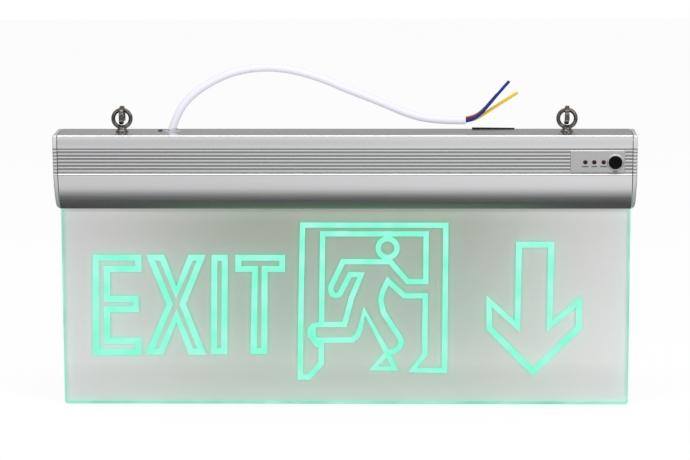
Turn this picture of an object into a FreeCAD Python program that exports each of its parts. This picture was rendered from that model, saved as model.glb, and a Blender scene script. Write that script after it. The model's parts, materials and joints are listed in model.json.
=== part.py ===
"""Hanging emergency exit light: extruded aluminium housing over an edge-lit acrylic sign panel.

Frame: X along the housing, Y from the front face to the back, Z up.
Origin: middle of the housing's flat top face.
"""
import FreeCAD, Part
import math
import os

V = FreeCAD.Vector
EAST = V(1, 0, 0)
BACK = V(0, 1, 0)
UP = V(0, 0, 1)
DOWN = V(0, 0, -1)

# Housing extrusion
housing_length = 394.0
housing_depth = 38.0
housing_height = 53.0
top_edge_radius = 1.2
top_wall = 2.0
side_wall = 2.4
flat_band_height = 8.0
ribbed_height = 18.6
face_lean = 3.4
groove_count = 8
groove_pitch = 2.43
groove_width = 1.15
groove_depth = 0.8
first_groove_offset = 0.4
bead_crest = 0.18
nose_inset = 6.9
nose_bulge_z = -39.5
lip_wall = 1.4
web_top = -38.0
web_thickness = 1.6
cavity_radius = 1.6

# Slot under the web, where the panel carrier slides in
slot_chamber_half = 6.4
slot_ledge_z = -46.0
slot_mouth_half = 4.7
port_radius = 2.6
port_bore = 2.5
port_bite = 0.5

# End caps
cap_thickness = 3.0
cap_edge_radius = 1.3
spigot_length = 6.0
spigot_clearance = 0.15
spigot_wall = 2.0
cap_screw_length = 12.0
cap_screw_head = 5.4
cap_screw_cone = 1.5
cap_screw_sink = 1.1
cap_screw_room = 0.1
port_room = 0.3
shank_room = 0.2
screw_shank = 2.5
vent_hole = 1.2
vent_inset = 1.5
vent_y = -10.0

# Sign panel
panel_end_gap = 1.5
panel_bottom = -190.0
panel_top = -42.6
sheet_thickness = 3.0
film_thickness = 0.4
panel_corner = 1.6
film_margin = 1.0

# Panel carrier
carrier_end_gap = 1.5
carrier_wall = 1.2
carrier_flange = 1.4
carrier_flange_half = 6.1
carrier_foot = -52.4
pin_radius = 1.5
pin_spacing = 150.0
pin_z = -49.0

# Light strip
strip_end_gap = 4.0
strip_width = 9.0
strip_thickness = 1.0
led_count = 24
led_size = 3.0
led_height = 0.6

# Main circuit board, slid into rails on the side walls
board_thickness = 1.6
board_z = -30.6
board_inset = 7.1
board_start = -165.0
board_end = 135.0
rail_height = 1.0
rail_inset = 8.1
rail_root_inset = 6.0

# Battery
battery_radius = 7.2
battery_length = 150.0
battery_x = 55.0
clip_wall = 1.0
clip_width = 10.0
clip_opening = 120.0
clip_base = 1.2

# Parts on the main board
transformer_x = -80.0
core_length = 26.0
core_depth = 21.0
core_height = 15.0
coil_length = 15.0
capacitor_x = -52.0
capacitor_radius = 4.0
capacitor_height = 14.0
terminal_x = -148.0
terminal_pitch = 5.0
terminal_ways = 4
terminal_depth = 8.0
terminal_height = 10.0

# Hanging eyebolts and rings
eyebolt_inset = 43.5
eye_height = 9.3
eye_radius = 6.0
eye_wire = 1.28
eye_stem = 2.3
eye_flare = 3.7
eye_flare_waist = 2.6
eye_flange = 4.5
eye_flange_height = 0.8
eye_thread = 2.5
eye_thread_length = 9.0
eye_clearance = 0.1
washer_radius = 5.5
washer_thickness = 1.0
nut_across_flats = 8.0
nut_height = 4.0
ring_outer = 6.5
ring_wire = 1.0
ring_play = 0.15
wire_sides = 8

# Cable gland and the screw beside it
gland_x = -119.2
gland_inset = 13.0
gland_length = 11.4
gland_width = 9.2
gland_flange = 0.8
gland_thread = 4.4
gland_thread_length = 9.0
gland_bore_clearance = 0.1
gland_nut_flats = 11.0
gland_nut_height = 3.0
snout_root = 3.7
snout_tip = 3.2
case_screw_x = -127.6
case_screw_inset = 12.6
case_screw_head = 1.5
case_screw_height = 0.8
case_screw_slot = 0.5
case_screw_chamfer = 0.25
case_screw_shank = 1.0
case_screw_length = 8.0

# Blanking plug on the rear top edge
plug_x = 105.2
plug_length = 27.6
plug_height = 1.3
plug_low_height = 0.7
plug_reach = 3.4
plug_skirt = 7.0
plug_thickness = 1.0

# Control plate on the front ribs
plate_inset = 24.25
plate_length = 37.3
plate_width = 15.7
plate_z = -18.2
plate_proud = 0.6
plate_corner = 1.0
window_length = 34.4
window_width = 12.4
button_u = 12.1
button_v = -0.6
button_radius = 4.65
button_fit = 0.06
button_proud = 2.2
button_travel = 1.5
collar_radius = 5.0
collar_thickness = 1.2
collar_gap = 0.1
boss_radius = 5.9
boss_height = 0.5
led_radius = 1.5
led_fit = 0.05
led_proud = 1.2
led_rim = 1.9
led_u = (-8.4, -2.3, 4.1)
led_v = -0.5
control_board_depth = 10.0
control_board_thickness = 1.2
post_radius = 1.1
post_u = (-15.5, 7.3)
post_v = 4.8
switch_size = 6.0
switch_height = 3.2
actuator_radius = 1.75
actuator_fit = 0.06
actuator_entry = 0.9

# Supply cable and its cores: free, so the routes are points chosen by hand.
# Their Y is measured from the gland's.
sheath_radius = 2.9
sheath_route = [
    (-117.4, 0.0, 4.0), (-109.8, 0.3, 21.8), (-94.0, 1, 32.4), (-73.5, 1.6, 42.0),
    (-50.0, 2, 45.6), (-27.0, 2, 42.0), (-4.0, 1.6, 31.8), (22.0, 1, 21.6),
    (45.0, 0.5, 10.6), (63.5, -0.2, 7.4), (82.0, -0.2, 7.4)]
core_radius = 1.05
blue_route = [
    (82.0, -1.3, 6.8), (87.0, -1.3, 6.8), (92.6, -1.4, 10.8), (98.6, -1.6, 18.4),
    (105.0, -1.8, 27.1), (111.8, -1.8, 34.8)]
yellow_route = [
    (82.0, 1.15, 7.1), (87.0, 1.15, 7.1), (95.0, 3, 12.6), (106.0, 3.2, 20.0),
    (117.7, 3, 27.2)]
brown_route = [
    (82.0, -0.2, 8.75), (87.0, -0.2, 8.75), (92.8, 1.3, 12.5), (98.7, 1.3, 18.9),
    (104.2, 1.2, 26.4)]

half_length = housing_length / 2
panel_length = housing_length - 2 * panel_end_gap
carrier_length = panel_length - 2 * carrier_end_gap
strip_length = carrier_length - 2 * strip_end_gap
vent_x = vent_inset - half_length
eyebolt_x = half_length - eyebolt_inset
plate_x = half_length - plate_inset
half_depth = housing_depth / 2
nose_bulge_y = half_depth - nose_inset
rail_reach = half_depth - rail_inset
rail_overlap = half_depth - rail_root_inset
board_half_width = half_depth - board_inset
gland_y = half_depth - gland_inset
case_screw_y = half_depth - case_screw_inset
lean_angle = math.atan2(face_lean, ribbed_height)
rib_foot_y = half_depth - face_lean
rib_foot_z = -flat_band_height - ribbed_height
web_under = web_top - web_thickness
panel_half = film_thickness / 2 + sheet_thickness
board_top = board_z + board_thickness


def export(shape, node):
    if not shape.isValid():
        print("not valid:", node)
    shape.exportStep("parts/" + node + ".step")
    print(node, len(shape.Solids), "solid(s)", round(shape.Volume, 1), "mm3")


def fuse(shapes):
    whole = shapes[0].fuse(shapes[1:]) if len(shapes) > 1 else shapes[0]
    return whole.removeSplitter()


def cylinder(radius, start, direction, length):
    return Part.makeCylinder(radius, length, start, direction)


def block(x0, x1, y0, y1, z0, z1):
    return Part.makeBox(x1 - x0, y1 - y0, z1 - z0, V(x0, y0, z0))


def hexagon_nut(across_flats, height, bore, start, direction):
    side = across_flats / math.sqrt(3)
    corners = [V(side * math.cos(a), side * math.sin(a), 0)
               for a in [math.radians(60 * i) for i in range(7)]]
    solid = Part.Face(Part.makePolygon(corners)).extrude(V(0, 0, height))
    solid = solid.cut(Part.makeCylinder(bore, height))
    solid.Placement = FreeCAD.Placement(start, FreeCAD.Rotation(UP, direction))
    return solid


def wire_ring(middle, wire, centre, axis):
    """Closed ring of bent wire, its section a polygon so that it stays light."""
    turn = FreeCAD.Rotation(UP, axis)
    corners = []
    for i in range(wire_sides + 1):
        angle = 2 * math.pi * (i + 0.5) / wire_sides
        corners.append(V(middle + wire * math.cos(angle), 0, wire * math.sin(angle)))
    ring = Part.Face(Part.makePolygon(corners)).revolve(V(0, 0, 0), UP, 360)
    ring.Placement = FreeCAD.Placement(centre, turn)
    return ring


def rounded_wire(points, radii):
    """Closed wire through the points, with a tangent arc of the given radius at each corner."""
    count = len(points)
    entries = []
    exits = []
    arcs = []
    for i in range(count):
        corner = points[i]
        toward_last = (points[i - 1] - corner).normalize()
        toward_next = (points[(i + 1) % count] - corner).normalize()
        if radii[i] == 0:
            entries.append(corner)
            exits.append(corner)
            arcs.append(None)
            continue
        half_angle = toward_last.getAngle(toward_next) / 2
        setback = radii[i] / math.tan(half_angle)
        bisector = (toward_last + toward_next).normalize()
        middle = corner + bisector * (radii[i] / math.sin(half_angle) - radii[i])
        entries.append(corner + toward_last * setback)
        exits.append(corner + toward_next * setback)
        arcs.append(Part.Arc(entries[i], middle, exits[i]).toShape())
    edges = []
    for i in range(count):
        if arcs[i]:
            edges.append(arcs[i])
        following = (i + 1) % count
        if exits[i].distanceToPoint(entries[following]) > 1e-6:
            edges.append(Part.LineSegment(exits[i], entries[following]).toShape())
    return Part.Wire(edges)


def rounded_slab(x0, x1, z0, z1, y0, y1, radii):
    corners = [V(x0, y0, z0), V(x1, y0, z0), V(x1, y0, z1), V(x0, y0, z1)]
    return Part.Face(rounded_wire(corners, radii)).extrude(V(0, y1 - y0, 0))


def rib_edges():
    """Flat band and grooved band of the front face, from the top edge down to the nose."""
    down_face = V(0, face_lean, -ribbed_height).normalize()
    inward = V(0, math.cos(lean_angle), math.sin(lean_angle))
    start = V(0, -half_depth, -flat_band_height)
    foot = V(0, -rib_foot_y, rib_foot_z)
    bead_width = groove_pitch - groove_width
    edges = []
    here = start
    for i in range(groove_count):
        near = start + down_face * (first_groove_offset + i * groove_pitch)
        far = near + down_face * groove_width
        bottom = (near + far) * 0.5 + inward * groove_depth
        if i == 0:
            edges.append(Part.LineSegment(here, near).toShape())
        edges.append(Part.Arc(near, bottom, far).toShape())
        following = far + down_face * bead_width
        crest = (far + following) * 0.5 - inward * bead_crest
        if i < groove_count - 1:
            edges.append(Part.Arc(far, crest, following).toShape())
        here = far
    edges.append(Part.LineSegment(here, foot).toShape())
    return edges


def front_outline(with_slot):
    """Front half of the housing's section, from the middle of the top to the middle below."""
    bend = top_edge_radius
    mid = bend * (1 - math.sqrt(0.5))
    crown = V(0, 0, 0)
    edge_in = V(0, -half_depth + bend, 0)
    edge_out = V(0, -half_depth, -bend)
    edges = [Part.LineSegment(crown, edge_in).toShape(),
             Part.Arc(edge_in, V(0, -half_depth + mid, -mid), edge_out).toShape(),
             Part.LineSegment(edge_out, V(0, -half_depth, -flat_band_height)).toShape()]
    edges += rib_edges()
    foot = V(0, -rib_foot_y, rib_foot_z)
    nose = V(0, -nose_bulge_y, nose_bulge_z)
    tip = V(0, -slot_mouth_half - lip_wall, -housing_height)
    edges.append(Part.Arc(foot, nose, tip).toShape())
    path = [tip, V(0, 0, -housing_height)]
    if with_slot:
        path = [tip, V(0, -slot_mouth_half, -housing_height), V(0, -slot_mouth_half, slot_ledge_z),
                V(0, -slot_chamber_half, slot_ledge_z), V(0, -slot_chamber_half, web_under),
                V(0, 0, web_under)]
    for a, b in zip(path, path[1:]):
        edges.append(Part.LineSegment(a, b).toShape())
    return edges


def outline_face(x, with_slot):
    front = front_outline(with_slot)
    rear = [edge.mirror(V(0, 0, 0), BACK) for edge in front]
    wire = Part.Wire(Part.__sortEdges__(front + rear))
    wire.translate(V(x, 0, 0))
    return Part.Face(wire)


def cavity_face(x, shrink):
    """Section of the hollow above the web, made smaller all round by shrink."""
    upper = half_depth - side_wall - shrink
    middle = rib_foot_y - side_wall - shrink
    lower = middle - 3.0
    corners = [(-upper, -top_wall - shrink), (upper, -top_wall - shrink),
               (upper, -flat_band_height), (middle, rib_foot_z),
               (lower, web_top + shrink), (-lower, web_top + shrink),
               (-middle, rib_foot_z), (-upper, -flat_band_height)]
    points = [V(x, y, z) for y, z in corners]
    radii = [cavity_radius, cavity_radius, 0, 0, cavity_radius, cavity_radius, 0, 0]
    return Part.Face(rounded_wire(points, radii))


def port_places():
    """Centres of the screw ports, each sunk a little into the walls that carry it."""
    reach = port_radius - port_bite
    y = half_depth - side_wall - reach
    return [(-y, -top_wall - reach), (y, -top_wall - reach), (0, web_top + reach)]


def control_placement():
    """Local frame of the control plate: X along it, Y inward through it, Z up its face."""
    drop = -flat_band_height - plate_z
    face_y = -half_depth + drop * face_lean / ribbed_height
    tilt = FreeCAD.Rotation(EAST, math.degrees(lean_angle))
    return FreeCAD.Placement(V(plate_x, face_y, plate_z), tilt)


def on_control_face(shape):
    shape.Placement = control_placement().multiply(shape.Placement)
    return shape


def housing():
    body = outline_face(-half_length, True).extrude(EAST * housing_length)
    body = body.cut(cavity_face(-half_length, 0).extrude(EAST * housing_length))
    extras = [cylinder(port_radius, V(-half_length, y, z), EAST, housing_length)
              for y, z in port_places()]
    for side in (-1, 1):
        for z in (board_z - rail_height, board_top):
            y0, y1 = sorted((side * rail_reach, side * rail_overlap))
            extras.append(block(-half_length, half_length, y0, y1, z, z + rail_height))
    body = fuse([body] + extras)
    cuts = [cylinder(port_bore / 2, V(-half_length, y, z), EAST, housing_length)
            for y, z in port_places()]
    # the caps' spigots need the rails cut back at both ends
    notch = spigot_length + spigot_clearance
    for x0 in (-half_length, half_length - notch):
        for side in (-1, 1):
            y0, y1 = sorted((side * (rail_reach - 0.5), side * (rib_foot_y - side_wall)))
            cuts.append(cavity_face(x0, 0).extrude(EAST * notch).common(
                block(x0, x0 + notch, y0, y1, board_z - rail_height, board_top + rail_height)))
    over = 1.0
    for side in (-1, 1):
        cuts.append(cylinder(eye_thread + eye_clearance, V(side * eyebolt_x, 0, over), DOWN,
                             top_wall + 2 * over))
    cuts.append(cylinder(gland_thread + gland_bore_clearance, V(gland_x, gland_y, over), DOWN,
                         top_wall + 2 * over))
    cuts.append(cylinder(case_screw_shank, V(case_screw_x, case_screw_y, over), DOWN,
                         top_wall + 2 * over))
    cuts.append(cylinder(vent_hole / 2, V(vent_x, vent_y, over), DOWN, top_wall + over))
    pocket = rounded_slab(-plate_length / 2, plate_length / 2, -plate_width / 2, plate_width / 2,
                          -2.0, groove_depth, [plate_corner] * 4)
    window = rounded_slab(-window_length / 2, window_length / 2, -window_width / 2,
                          window_width / 2, -2.0, 4.0, [plate_corner] * 4)
    cuts.append(on_control_face(pocket))
    cuts.append(on_control_face(window))
    return body.cut(cuts).removeSplitter()


def end_cap(side):
    inner = side * half_length
    outer = side * (half_length + cap_thickness)
    plate = outline_face(inner, False).extrude(V(outer - inner, 0, 0))
    # pillow face: the long edges of the section are softened by a wide ellipse-like dome
    dome_depth = housing_depth / 2 + cap_edge_radius
    radius = (dome_depth ** 2 + cap_edge_radius ** 2) / (2 * cap_edge_radius)
    barrel = cylinder(radius, V(outer - side * radius, 0, -housing_height - 5), UP,
                      housing_height + 10)
    plate = plate.common(barrel)
    spigot = cavity_face(inner, spigot_clearance)
    spigot = spigot.extrude(V(-side * spigot_length, 0, 0))
    hollow = cavity_face(inner, spigot_clearance + spigot_wall)
    hollow = hollow.extrude(V(-side * spigot_length, 0, 0))
    collar = spigot.cut(hollow)
    cap = fuse([plate, collar])
    cuts = []
    for y, z in port_places():
        room = cylinder(port_radius + port_room, V(inner, y, z), EAST * -side, spigot_length + 1)
        cuts.append(room)
        cuts.append(cylinder(screw_shank / 2 + shank_room, V(outer + side, y, z), EAST * -side,
                             cap_thickness + 2))
        cuts.append(cap_screw_head_solid(side, y, z, cap_screw_room))
    return cap.cut(cuts).removeSplitter()


def cap_screw_head_solid(side, y, z, room):
    seat = side * (half_length + cap_thickness - cap_screw_cone - cap_screw_sink)
    head = Part.makeCone(screw_shank / 2 + room, cap_screw_head / 2 + room, cap_screw_cone,
                         V(seat, y, z),
                         EAST * side)
    if room:
        return head.fuse(cylinder(cap_screw_head / 2 + room, V(seat + side * cap_screw_cone, y, z),
                                  EAST * side, 2 * cap_screw_sink))
    return head


def cap_screws(side):
    screws = []
    for y, z in port_places():
        head = cap_screw_head_solid(side, y, z, 0)
        seat = side * (half_length + cap_thickness - cap_screw_cone - cap_screw_sink)
        shank = cylinder(screw_shank / 2, V(seat, y, z), EAST * -side, cap_screw_length)
        screws.append(head.fuse(shank).removeSplitter())
    return Part.makeCompound(screws)


def sign_sheet(side):
    inner = side * film_thickness / 2
    outer = side * panel_half
    y0, y1 = sorted((inner, outer))
    sheet = rounded_slab(-panel_length / 2, panel_length / 2, panel_bottom, panel_top, y0, y1,
                         [panel_corner, panel_corner, 0, 0])
    return sheet.cut(panel_pin_holes())


def reflector_film():
    film = rounded_slab(-panel_length / 2 + film_margin, panel_length / 2 - film_margin,
                        panel_bottom + film_margin, panel_top, -film_thickness / 2,
                        film_thickness / 2, [panel_corner, panel_corner, 0, 0])
    return film.cut(panel_pin_holes())


def pin_places():
    return [-pin_spacing, 0.0, pin_spacing]


def panel_pin_holes():
    reach = panel_half + carrier_wall
    return [cylinder(pin_radius, V(x, -reach, pin_z), BACK, 2 * reach) for x in pin_places()]


def panel_carrier():
    half = carrier_length / 2
    wall = panel_half + carrier_wall
    flange_foot = slot_ledge_z
    flange_top = slot_ledge_z + carrier_flange
    corners = [(-panel_half, carrier_foot), (-wall, carrier_foot), (-wall, flange_foot),
               (-carrier_flange_half, flange_foot), (-carrier_flange_half, flange_top),
               (-panel_half, flange_top)]
    points = [V(-half, y, z) for y, z in corners]
    front = Part.Face(Part.makePolygon(points + points[:1])).extrude(EAST * carrier_length)
    rear = front.mirror(V(0, 0, 0), BACK)
    rails = [front.cut(panel_pin_holes()), rear.cut(panel_pin_holes())]
    return Part.makeCompound(rails)


def panel_pins():
    return Part.makeCompound(panel_pin_holes())


def light_strip():
    return block(-strip_length / 2, strip_length / 2, -strip_width / 2, strip_width / 2,
                 web_under - strip_thickness, web_under)


def strip_leds():
    top = web_under - strip_thickness
    pitch = strip_length / led_count
    half = led_size / 2
    leds = []
    for i in range(led_count):
        x = -strip_length / 2 + pitch * (i + 0.5)
        leds.append(block(x - half, x + half, -half, half, top - led_height, top))
    return Part.makeCompound(leds)


def main_board():
    return block(board_start, board_end, -board_half_width, board_half_width, board_z, board_top)


def battery_centre():
    return board_top + clip_base + clip_wall + battery_radius


def battery_pack():
    start = V(battery_x - battery_length / 2, 0, battery_centre())
    pack = cylinder(battery_radius, start, EAST, battery_length)
    ends = [edge for edge in pack.Edges if len(edge.Vertexes) == 1]
    pack = pack.makeChamfer(0.9, ends)
    terminal = cylinder(2.6, start + EAST * battery_length, EAST, 1.2)
    return fuse([pack, terminal])


def battery_clip(offset):
    """Spring saddle open at the top, its foot on the board."""
    x0 = battery_x + offset - clip_width / 2
    centre = battery_centre()
    outer = battery_radius + clip_wall
    ring = cylinder(outer, V(x0, 0, centre), EAST, clip_width)
    foot = block(x0, x0 + clip_width, -outer * 0.8, outer * 0.8, board_top, centre - outer * 0.6)
    saddle = ring.fuse(foot)
    saddle = saddle.cut(cylinder(battery_radius, V(x0 - 1, 0, centre), EAST, clip_width + 2))
    half_open = math.radians(clip_opening / 2)
    reach = 2 * outer
    wedge = [V(x0 - 1, 0, centre), V(x0 - 1, -reach * math.sin(half_open), centre + reach),
             V(x0 - 1, reach * math.sin(half_open), centre + reach)]
    mouth = Part.Face(Part.makePolygon(wedge + wedge[:1])).extrude(EAST * (clip_width + 2))
    return saddle.cut(mouth).removeSplitter()


def transformer():
    x0 = transformer_x - core_length / 2
    x1 = transformer_x + core_length / 2
    half = core_depth / 2
    top = board_top + core_height
    core = block(x0, x1, -half + 4, half - 4, board_top, top)
    coil = block(transformer_x - coil_length / 2, transformer_x + coil_length / 2, -half, half,
                 board_top, top - 2)
    long_edges = [edge for edge in coil.Edges
                  if abs(edge.Vertexes[0].Z - edge.Vertexes[1].Z) > 1]
    return fuse([core, coil.makeFillet(2.0, long_edges)])


def capacitor():
    can = cylinder(capacitor_radius, V(capacitor_x, 0, board_top), UP, capacitor_height)
    rim = [edge for edge in can.Edges if len(edge.Vertexes) == 1
           and edge.Vertexes[0].Z > board_top + 1]
    return can.makeChamfer(0.8, rim)


def terminal_block():
    length = terminal_ways * terminal_pitch
    x0 = terminal_x - length / 2
    half = terminal_depth / 2
    shell = block(x0, x0 + length, -half, half, board_top, board_top + terminal_height)
    cuts = []
    for i in range(terminal_ways):
        x = x0 + terminal_pitch * (i + 0.5)
        cuts.append(cylinder(1.6, V(x, 0, board_top + terminal_height + 1), DOWN, 5.0))
        cuts.append(cylinder(1.3, V(x, -half - 1, board_top + 3.2), BACK, 5.0))
    return shell.cut(cuts)


def eyebolt(side):
    x = side * eyebolt_x
    eye = wire_ring(eye_radius, eye_wire, V(x, 0, eye_height), BACK)
    flange = cylinder(eye_flange, V(x, 0, 0), UP, eye_flange_height)
    rim = [edge for edge in flange.Edges if len(edge.Vertexes) == 1
           and edge.Vertexes[0].Z > eye_flange_height / 2]
    flange = flange.makeChamfer(0.4, rim)
    neck_top = eye_height - eye_radius + eye_wire * 0.4
    waist_z = (eye_flange_height + neck_top) / 2
    flare = Part.Arc(V(eye_flare, 0, eye_flange_height), V(eye_flare_waist, 0, waist_z),
                     V(eye_stem, 0, neck_top)).toShape()
    sides = Part.makePolygon([V(eye_stem, 0, neck_top), V(0, 0, neck_top), V(0, 0, 0),
                              V(eye_flare, 0, 0), V(eye_flare, 0, eye_flange_height)])
    neck = Part.Face(Part.Wire([flare] + sides.Edges)).revolve(V(0, 0, 0), UP, 360)
    neck.translate(V(x, 0, 0))
    thread = cylinder(eye_thread, V(x, 0, -eye_thread_length), UP, eye_thread_length)
    return fuse([eye, flange, neck, thread])


def eyebolt_washer(side):
    under = V(side * eyebolt_x, 0, -top_wall - washer_thickness)
    disc = cylinder(washer_radius, under, UP, washer_thickness)
    return disc.cut(cylinder(eye_thread, under, UP, washer_thickness))


def eyebolt_nut(side):
    start = V(side * eyebolt_x, 0, -top_wall - washer_thickness)
    return hexagon_nut(nut_across_flats, nut_height, eye_thread, start, DOWN)


def ring_centre_z():
    crown = eye_height + eye_radius + eye_wire
    return crown + ring_play + 2 * ring_wire - ring_outer


def split_ring(side):
    """Two turns of spring wire side by side, hung over the top of the eye."""
    middle = ring_outer - ring_wire
    half_pitch = ring_wire * math.cos(math.pi / wire_sides)
    turns = []
    for shift in (-half_pitch, half_pitch):
        centre = V(side * eyebolt_x + shift, 0, ring_centre_z())
        turns.append(wire_ring(middle, ring_wire, centre, EAST))
    return fuse(turns)


def slotted_plate(x, y, length, width, height):
    half_run = (length - width) / 2
    radius = width / 2
    bar = block(x - half_run, x + half_run, y - radius, y + radius, 0, height)
    ends = [cylinder(radius, V(x + shift, y, 0), UP, height) for shift in (-half_run, half_run)]
    return fuse([bar] + ends)


def route_point(p):
    return V(p[0], p[1] + gland_y, p[2])


def cable_gland():
    tip = route_point(sheath_route[0])
    lean = (route_point(sheath_route[1]) - tip).normalize()
    root = tip - lean * (tip.z / lean.z)
    snout_length = root.distanceToPoint(tip)
    snout = Part.makeCone(snout_root, snout_tip, snout_length, root, lean)
    flange = slotted_plate(gland_x, gland_y, gland_length, gland_width, gland_flange)
    above = block(gland_x - gland_length, gland_x + gland_length, gland_y - gland_length,
                  gland_y + gland_length, 0, 2 * tip.z)
    thread = cylinder(gland_thread, V(gland_x, gland_y, -gland_thread_length), UP,
                      gland_thread_length)
    return fuse([flange, snout.common(above), thread])


def gland_nut():
    start = V(gland_x, gland_y, -top_wall)
    return hexagon_nut(gland_nut_flats, gland_nut_height, gland_thread, start, DOWN)


def case_screw():
    base = V(case_screw_x, case_screw_y, 0)
    head = cylinder(case_screw_head, base, UP, case_screw_height)
    rim = [edge for edge in head.Edges if len(edge.Vertexes) == 1 and edge.Vertexes[0].Z > 0.5 * case_screw_height]
    head = head.makeChamfer(case_screw_chamfer, rim)
    shank = cylinder(case_screw_shank, base, DOWN, case_screw_length)
    half_slot = case_screw_slot / 2
    slot = block(base.x - 3, base.x + 3, base.y - half_slot, base.y + half_slot,
                 0.5 * case_screw_height, 2 * case_screw_height)
    return fuse([head, shank]).cut(slot)


def blanking_plug():
    """Black cover hooked over the rear top edge, its top sloping along it."""
    corners = [(half_depth - plug_reach, 0), (half_depth - plug_reach, plug_height),
               (half_depth + plug_thickness, plug_height),
               (half_depth + plug_thickness, -plug_skirt), (half_depth, -plug_skirt),
               (half_depth, 0)]
    points = [V(plug_x - plug_length / 2, y, z) for y, z in corners]
    cover = Part.Face(rounded_wire(points, [0, 0.5, 0.6, 0.4, 0, 0])).extrude(EAST * plug_length)
    # the top falls towards the right end
    x0 = plug_x - plug_length / 2
    x1 = plug_x + plug_length / 2
    y0 = half_depth - plug_reach - plug_thickness
    slope = Part.makePolygon([V(x0, y0, plug_height), V(x1, y0, plug_low_height),
                              V(x1, y0, plug_height + 1), V(x0, y0, plug_height + 1),
                              V(x0, y0, plug_height)])
    return cover.cut(Part.Face(slope).extrude(BACK * (plug_reach + 3 * plug_thickness)))


def control_plate():
    half_l = plate_length / 2
    half_w = plate_width / 2
    plate = rounded_slab(-half_l, half_l, -half_w, half_w, -plate_proud, groove_depth,
                         [plate_corner] * 4)
    front = [edge for edge in plate.Edges
             if all(abs(v.Y + plate_proud) < 1e-4 for v in edge.Vertexes)]
    plate = plate.makeChamfer(0.3, front)
    centre = V(button_u, 0, button_v)
    boss = Part.makeCone(boss_radius, boss_radius - 0.6, boss_height,
                         centre + V(0, -plate_proud, 0), -BACK)
    posts = [cylinder(post_radius, V(u, groove_depth, v), BACK, control_board_depth - groove_depth)
             for u in post_u for v in (-post_v, post_v)]
    plate = fuse([plate, boss] + posts)
    cuts = [cylinder(button_radius + button_fit, centre - BACK * 5, BACK, 10)]
    for u in led_u:
        cuts.append(cylinder(led_radius + led_fit, V(u, -5, led_v), BACK, 10))
    return on_control_face(plate.cut(cuts))


def control_board():
    half_l = window_length / 2 - 0.4
    half_w = window_width / 2 - 0.2
    return on_control_face(block(-half_l, half_l, control_board_depth,
                                 control_board_depth + control_board_thickness,
                                 -half_w, half_w))


def status_led(index):
    base = V(led_u[index], 0, led_v)
    tip = cylinder(led_radius, base - BACK * led_proud, BACK, led_proud + 3.2)
    front = [edge for edge in tip.Edges if len(edge.Vertexes) == 1 and edge.Vertexes[0].Y < 0]
    tip = tip.makeChamfer(led_radius * 0.5, front)
    rim = cylinder(led_rim, base + BACK * 3.2, BACK, 1.0)
    legs = [block(base.x + s - 0.25, base.x + s + 0.25, 4.2, control_board_depth,
                  base.z - 0.25, base.z + 0.25) for s in (-1.27, 1.27)]
    return fuse([tip, rim] + legs)


def status_leds():
    return on_control_face(Part.makeCompound([status_led(i) for i in range(len(led_u))]))


def switch_top():
    return control_board_depth - switch_height


def test_switch():
    half = switch_size / 2
    body = block(button_u - half, button_u + half, switch_top(), control_board_depth,
                 button_v - half, button_v + half)
    bore = cylinder(actuator_radius + actuator_fit, V(button_u, switch_top() - 1, button_v), BACK,
                    1 + actuator_entry + button_travel + 0.3)
    return on_control_face(body.cut(bore))


def button_inner_end():
    return switch_top() - button_travel - 0.3


def test_button():
    centre = V(button_u, 0, button_v)
    collar_start = groove_depth + collar_gap
    cap = cylinder(button_radius, centre - BACK * button_proud, BACK, button_proud + collar_start)
    rim = [edge for edge in cap.Edges if len(edge.Vertexes) == 1 and edge.Vertexes[0].Y < 0]
    cap = cap.makeChamfer(0.6, rim)
    collar = cylinder(collar_radius, centre + BACK * collar_start, BACK, collar_thickness)
    stem_start = collar_start + collar_thickness
    stem = cylinder(actuator_radius + 0.4, centre + BACK * stem_start, BACK,
                    button_inner_end() - stem_start)
    return on_control_face(fuse([cap, collar, stem]))


def switch_actuator():
    centre = V(button_u, button_inner_end(), button_v)
    length = switch_top() + actuator_entry - button_inner_end()
    return on_control_face(cylinder(actuator_radius, centre, BACK, length))


def cord_tube(route, radius, name):
    """Straight runs joined by tangent arcs, each as large as its two runs allow."""
    points = [route_point(p) for p in route]
    edges = []
    radii = []
    here = points[0]
    for i in range(1, len(points) - 1):
        before = points[i - 1] - points[i]
        after = points[i + 1] - points[i]
        setback = 0.45 * min(before.Length, after.Length)
        turn = math.pi - before.getAngle(after)
        bend = setback / math.tan(turn / 2)
        radii.append(round(bend, 1))
        before.normalize()
        after.normalize()
        entry = points[i] + before * setback
        leave = points[i] + after * setback
        toward_centre = (before + after).normalize()
        middle = points[i] + toward_centre * (bend / math.cos(turn / 2) - bend)
        edges.append(Part.LineSegment(here, entry).toShape())
        edges.append(Part.Arc(entry, middle, leave).toShape())
        here = leave
    edges.append(Part.LineSegment(here, points[-1]).toShape())
    spine = Part.Wire(edges)
    section = Part.Wire(Part.makeCircle(radius, points[0], points[1] - points[0]))
    tube = spine.makePipeShell([section], True, False)
    expected = math.pi * radius ** 2 * spine.Length
    print(name, "length", round(spine.Length, 1), "radii", radii,
          "volume ratio", round(tube.Volume / expected, 4))
    return tube


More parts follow.
